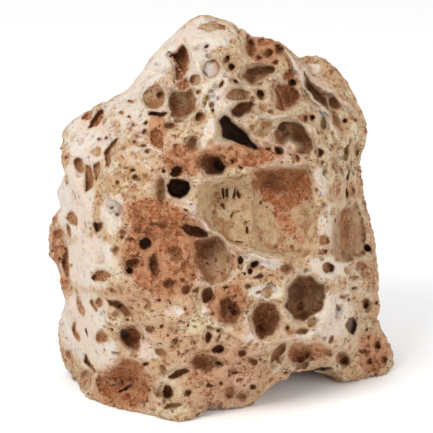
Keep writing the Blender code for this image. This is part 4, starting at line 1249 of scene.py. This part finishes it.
def ground_colour(nodes, ragged):
    """Tan stone, smooth floors, white skin, rust and ochre, each where the vertices say so."""
    def patch(name, low, high, sway):
        return nodes.ramp(swayed(nodes, name, ragged, sway), low, high)

    rust = nodes.spotted(RUST, RUST_SPOTS)
    # Crests of the rust are paler: partly paler stone, partly painted highlight
    rust = nodes.mix(nodes.ramp(nodes.attribute("crest"), *CREST_ON_RUST), rust, PALE_RUST)
    tan, floor = nodes.spotted(TAN, TAN_SPOTS), nodes.spotted(SMOOTH_FLOOR, FLOOR_SPOTS)
    colour = nodes.mix(patch("smooth", *SMOOTH_EDGE), tan, floor)
    colour = nodes.mix(patch("white", *WHITE_EDGE), colour, nodes.spotted(WHITE_SKIN, SKIN_SPOTS))
    colour = nodes.mix(nodes.times(patch("rust", *STAIN_EDGE), STAIN), colour, PINK_TAN)
    colour = nodes.mix(patch("rust", *RUSTY_EDGE), colour, rust)
    return nodes.mix(nodes.times(patch("ochre", *OCHRE_EDGE), OCHRE_SHARE), colour, OCHRE)


def crest_light_and_pit_shade(nodes, ragged, colour):
    """Crests paled, partly as paler stone and partly as painted highlight, and pits and broad hollows browned
    with painted shade, on a colour.
    """
    # Painted highlight on crests, with paler stone there too
    crest = nodes.times(nodes.ramp(nodes.attribute("crest"), *CREST_SHOWN), nodes.ramp(ragged, *CREST_RAGGED))
    crest = nodes.times(crest, nodes.ramp(nodes.attribute("rust"), *CREST_OFF_RUST))
    colour = nodes.mix(crest, colour, nodes.spotted(CREAM, PALE_SPOTS))
    # Painted shade in pits, partly clay brown
    pit = nodes.ramp(nodes.attribute("pit"), *PIT_SHADE)
    pit = nodes.times(pit, nodes.ramp(nodes.attribute("white"), *LESS_IN_WHITE))
    colour = nodes.mix(pit, colour, CLAY_AND_SHADE)
    # Painted shade in broad hollows
    return nodes.mix(nodes.ramp(nodes.attribute("deep"), *DEEP_SHADE), colour, DEEP_RUST_AND_SHADE)


def stone_material():
    """Porous limestone: cream and white skin, tan matrix, rust clay, and holes and specks darkened with
    painted shade, the specks partly with clay.
    """
    nodes = Nodes("porous_limestone")
    middle, fine, grainy = nodes.noise(*MIDDLE), nodes.noise(*FINE), nodes.noise(*GRAINY)
    ragged = nodes.math("ADD", nodes.times(middle, RAGGED_MIDDLE), nodes.times(fine, RAGGED_FINE))
    specks = pore_shade_specks(nodes)
    colour = crest_light_and_pit_shade(nodes, ragged, ground_colour(nodes, ragged))
    # Specks darken tiny pores: partly clay, partly painted shade
    colour = nodes.mix(nodes.times(specks, SPECK_SHARE), colour, DEEP_RUST_AND_SHADE)
    # Painted shade in the hollows, as the vertices give it
    painted_shade = nodes.ramp(swayed(nodes, "dark", ragged, DARK_SWAY), *BROWN_SHADE)
    colour = nodes.mix(painted_shade, colour, nodes.spotted(CLAY_AND_SHADE, SHADE_SPOTS))
    # Painted shade where the holes are darkest
    colour = nodes.mix(nodes.ramp(nodes.attribute("dark"), *HOLE_SHADE), colour, PAINTED_HOLE_SHADE)
    nodes.join(colour, nodes.shader.inputs["Base Color"])
    nodes.join(nodes.ramp(fine, *ROUGHNESS), nodes.shader.inputs["Roughness"])
    nodes.shader.inputs["Specular IOR Level"].default_value = SPECULAR
    height = nodes.math("ADD", fine, nodes.times(grainy, GRAINY_HEIGHT))
    height = nodes.math("SUBTRACT", height, nodes.times(specks, SPECK_DEPTH))
    height = nodes.times(height, nodes.ramp(nodes.attribute("white"), *LESS_IN_WHITE))
    nodes.join(nodes.bump(height, BUMP_HEIGHT), nodes.shader.inputs["Normal"])
    return nodes.material


def make_floor():
    mesh = bpy.data.meshes.new("floor")
    half = FLOOR_SIDE / 2
    corners = [(-half, -half, 0), (half, -half, 0), (half, half, 0), (-half, half, 0)]
    mesh.from_pydata(corners, [], [(0, 1, 2, 3)])
    floor = new_object("floor", mesh)
    nodes = Nodes("pale_floor")
    nodes.shader.inputs["Base Color"].default_value = FLOOR_COLOUR
    nodes.shader.inputs["Roughness"].default_value = FLOOR_ROUGHNESS
    mesh.materials.append(nodes.material)


def facing(place, target):
    """The turn that makes a camera or a light at place look at target."""
    return (Vector(target) - Vector(place)).to_track_quat("-Z", "Y").to_euler()


def make_light(name, place, size, watts):
    light = bpy.data.lights.new(name, "AREA")
    light.size = size
    light.energy = watts
    obj = new_object(name, light)
    obj.location = place
    obj.rotation_euler = facing(place, LIGHT_AIM)


def make_world():
    world = bpy.data.worlds.new("studio")
    world.use_nodes = True
    sky = world.node_tree.nodes["Background"]
    sky.inputs["Color"].default_value = (1, 1, 1, 1)
    sky.inputs["Strength"].default_value = SKY_STRENGTH
    bpy.context.scene.world = world
    bpy.context.scene.view_settings.view_transform = "Standard"


def make_camera():
    camera = bpy.data.cameras.new("camera")
    camera.sensor_width = SENSOR_WIDTH
    camera.lens = SENSOR_WIDTH * VIEW_DISTANCE / (PHOTO_SIDE * MM_PER_PIXEL)
    obj = new_object("camera", camera)
    obj.location = EYE * MM
    obj.rotation_euler = facing(EYE * MM, AIM * MM)
    bpy.context.scene.camera = obj


def main():
    make_world()
    make_camera()
    make_floor()
    for name, values in LIGHTS.items():
        make_light(name, *values)
    stone = stone_material()
    for piece in make_rock(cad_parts["rock"]):
        piece.data.materials.append(stone)
        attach(piece, "root")
        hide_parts("rock")


main()
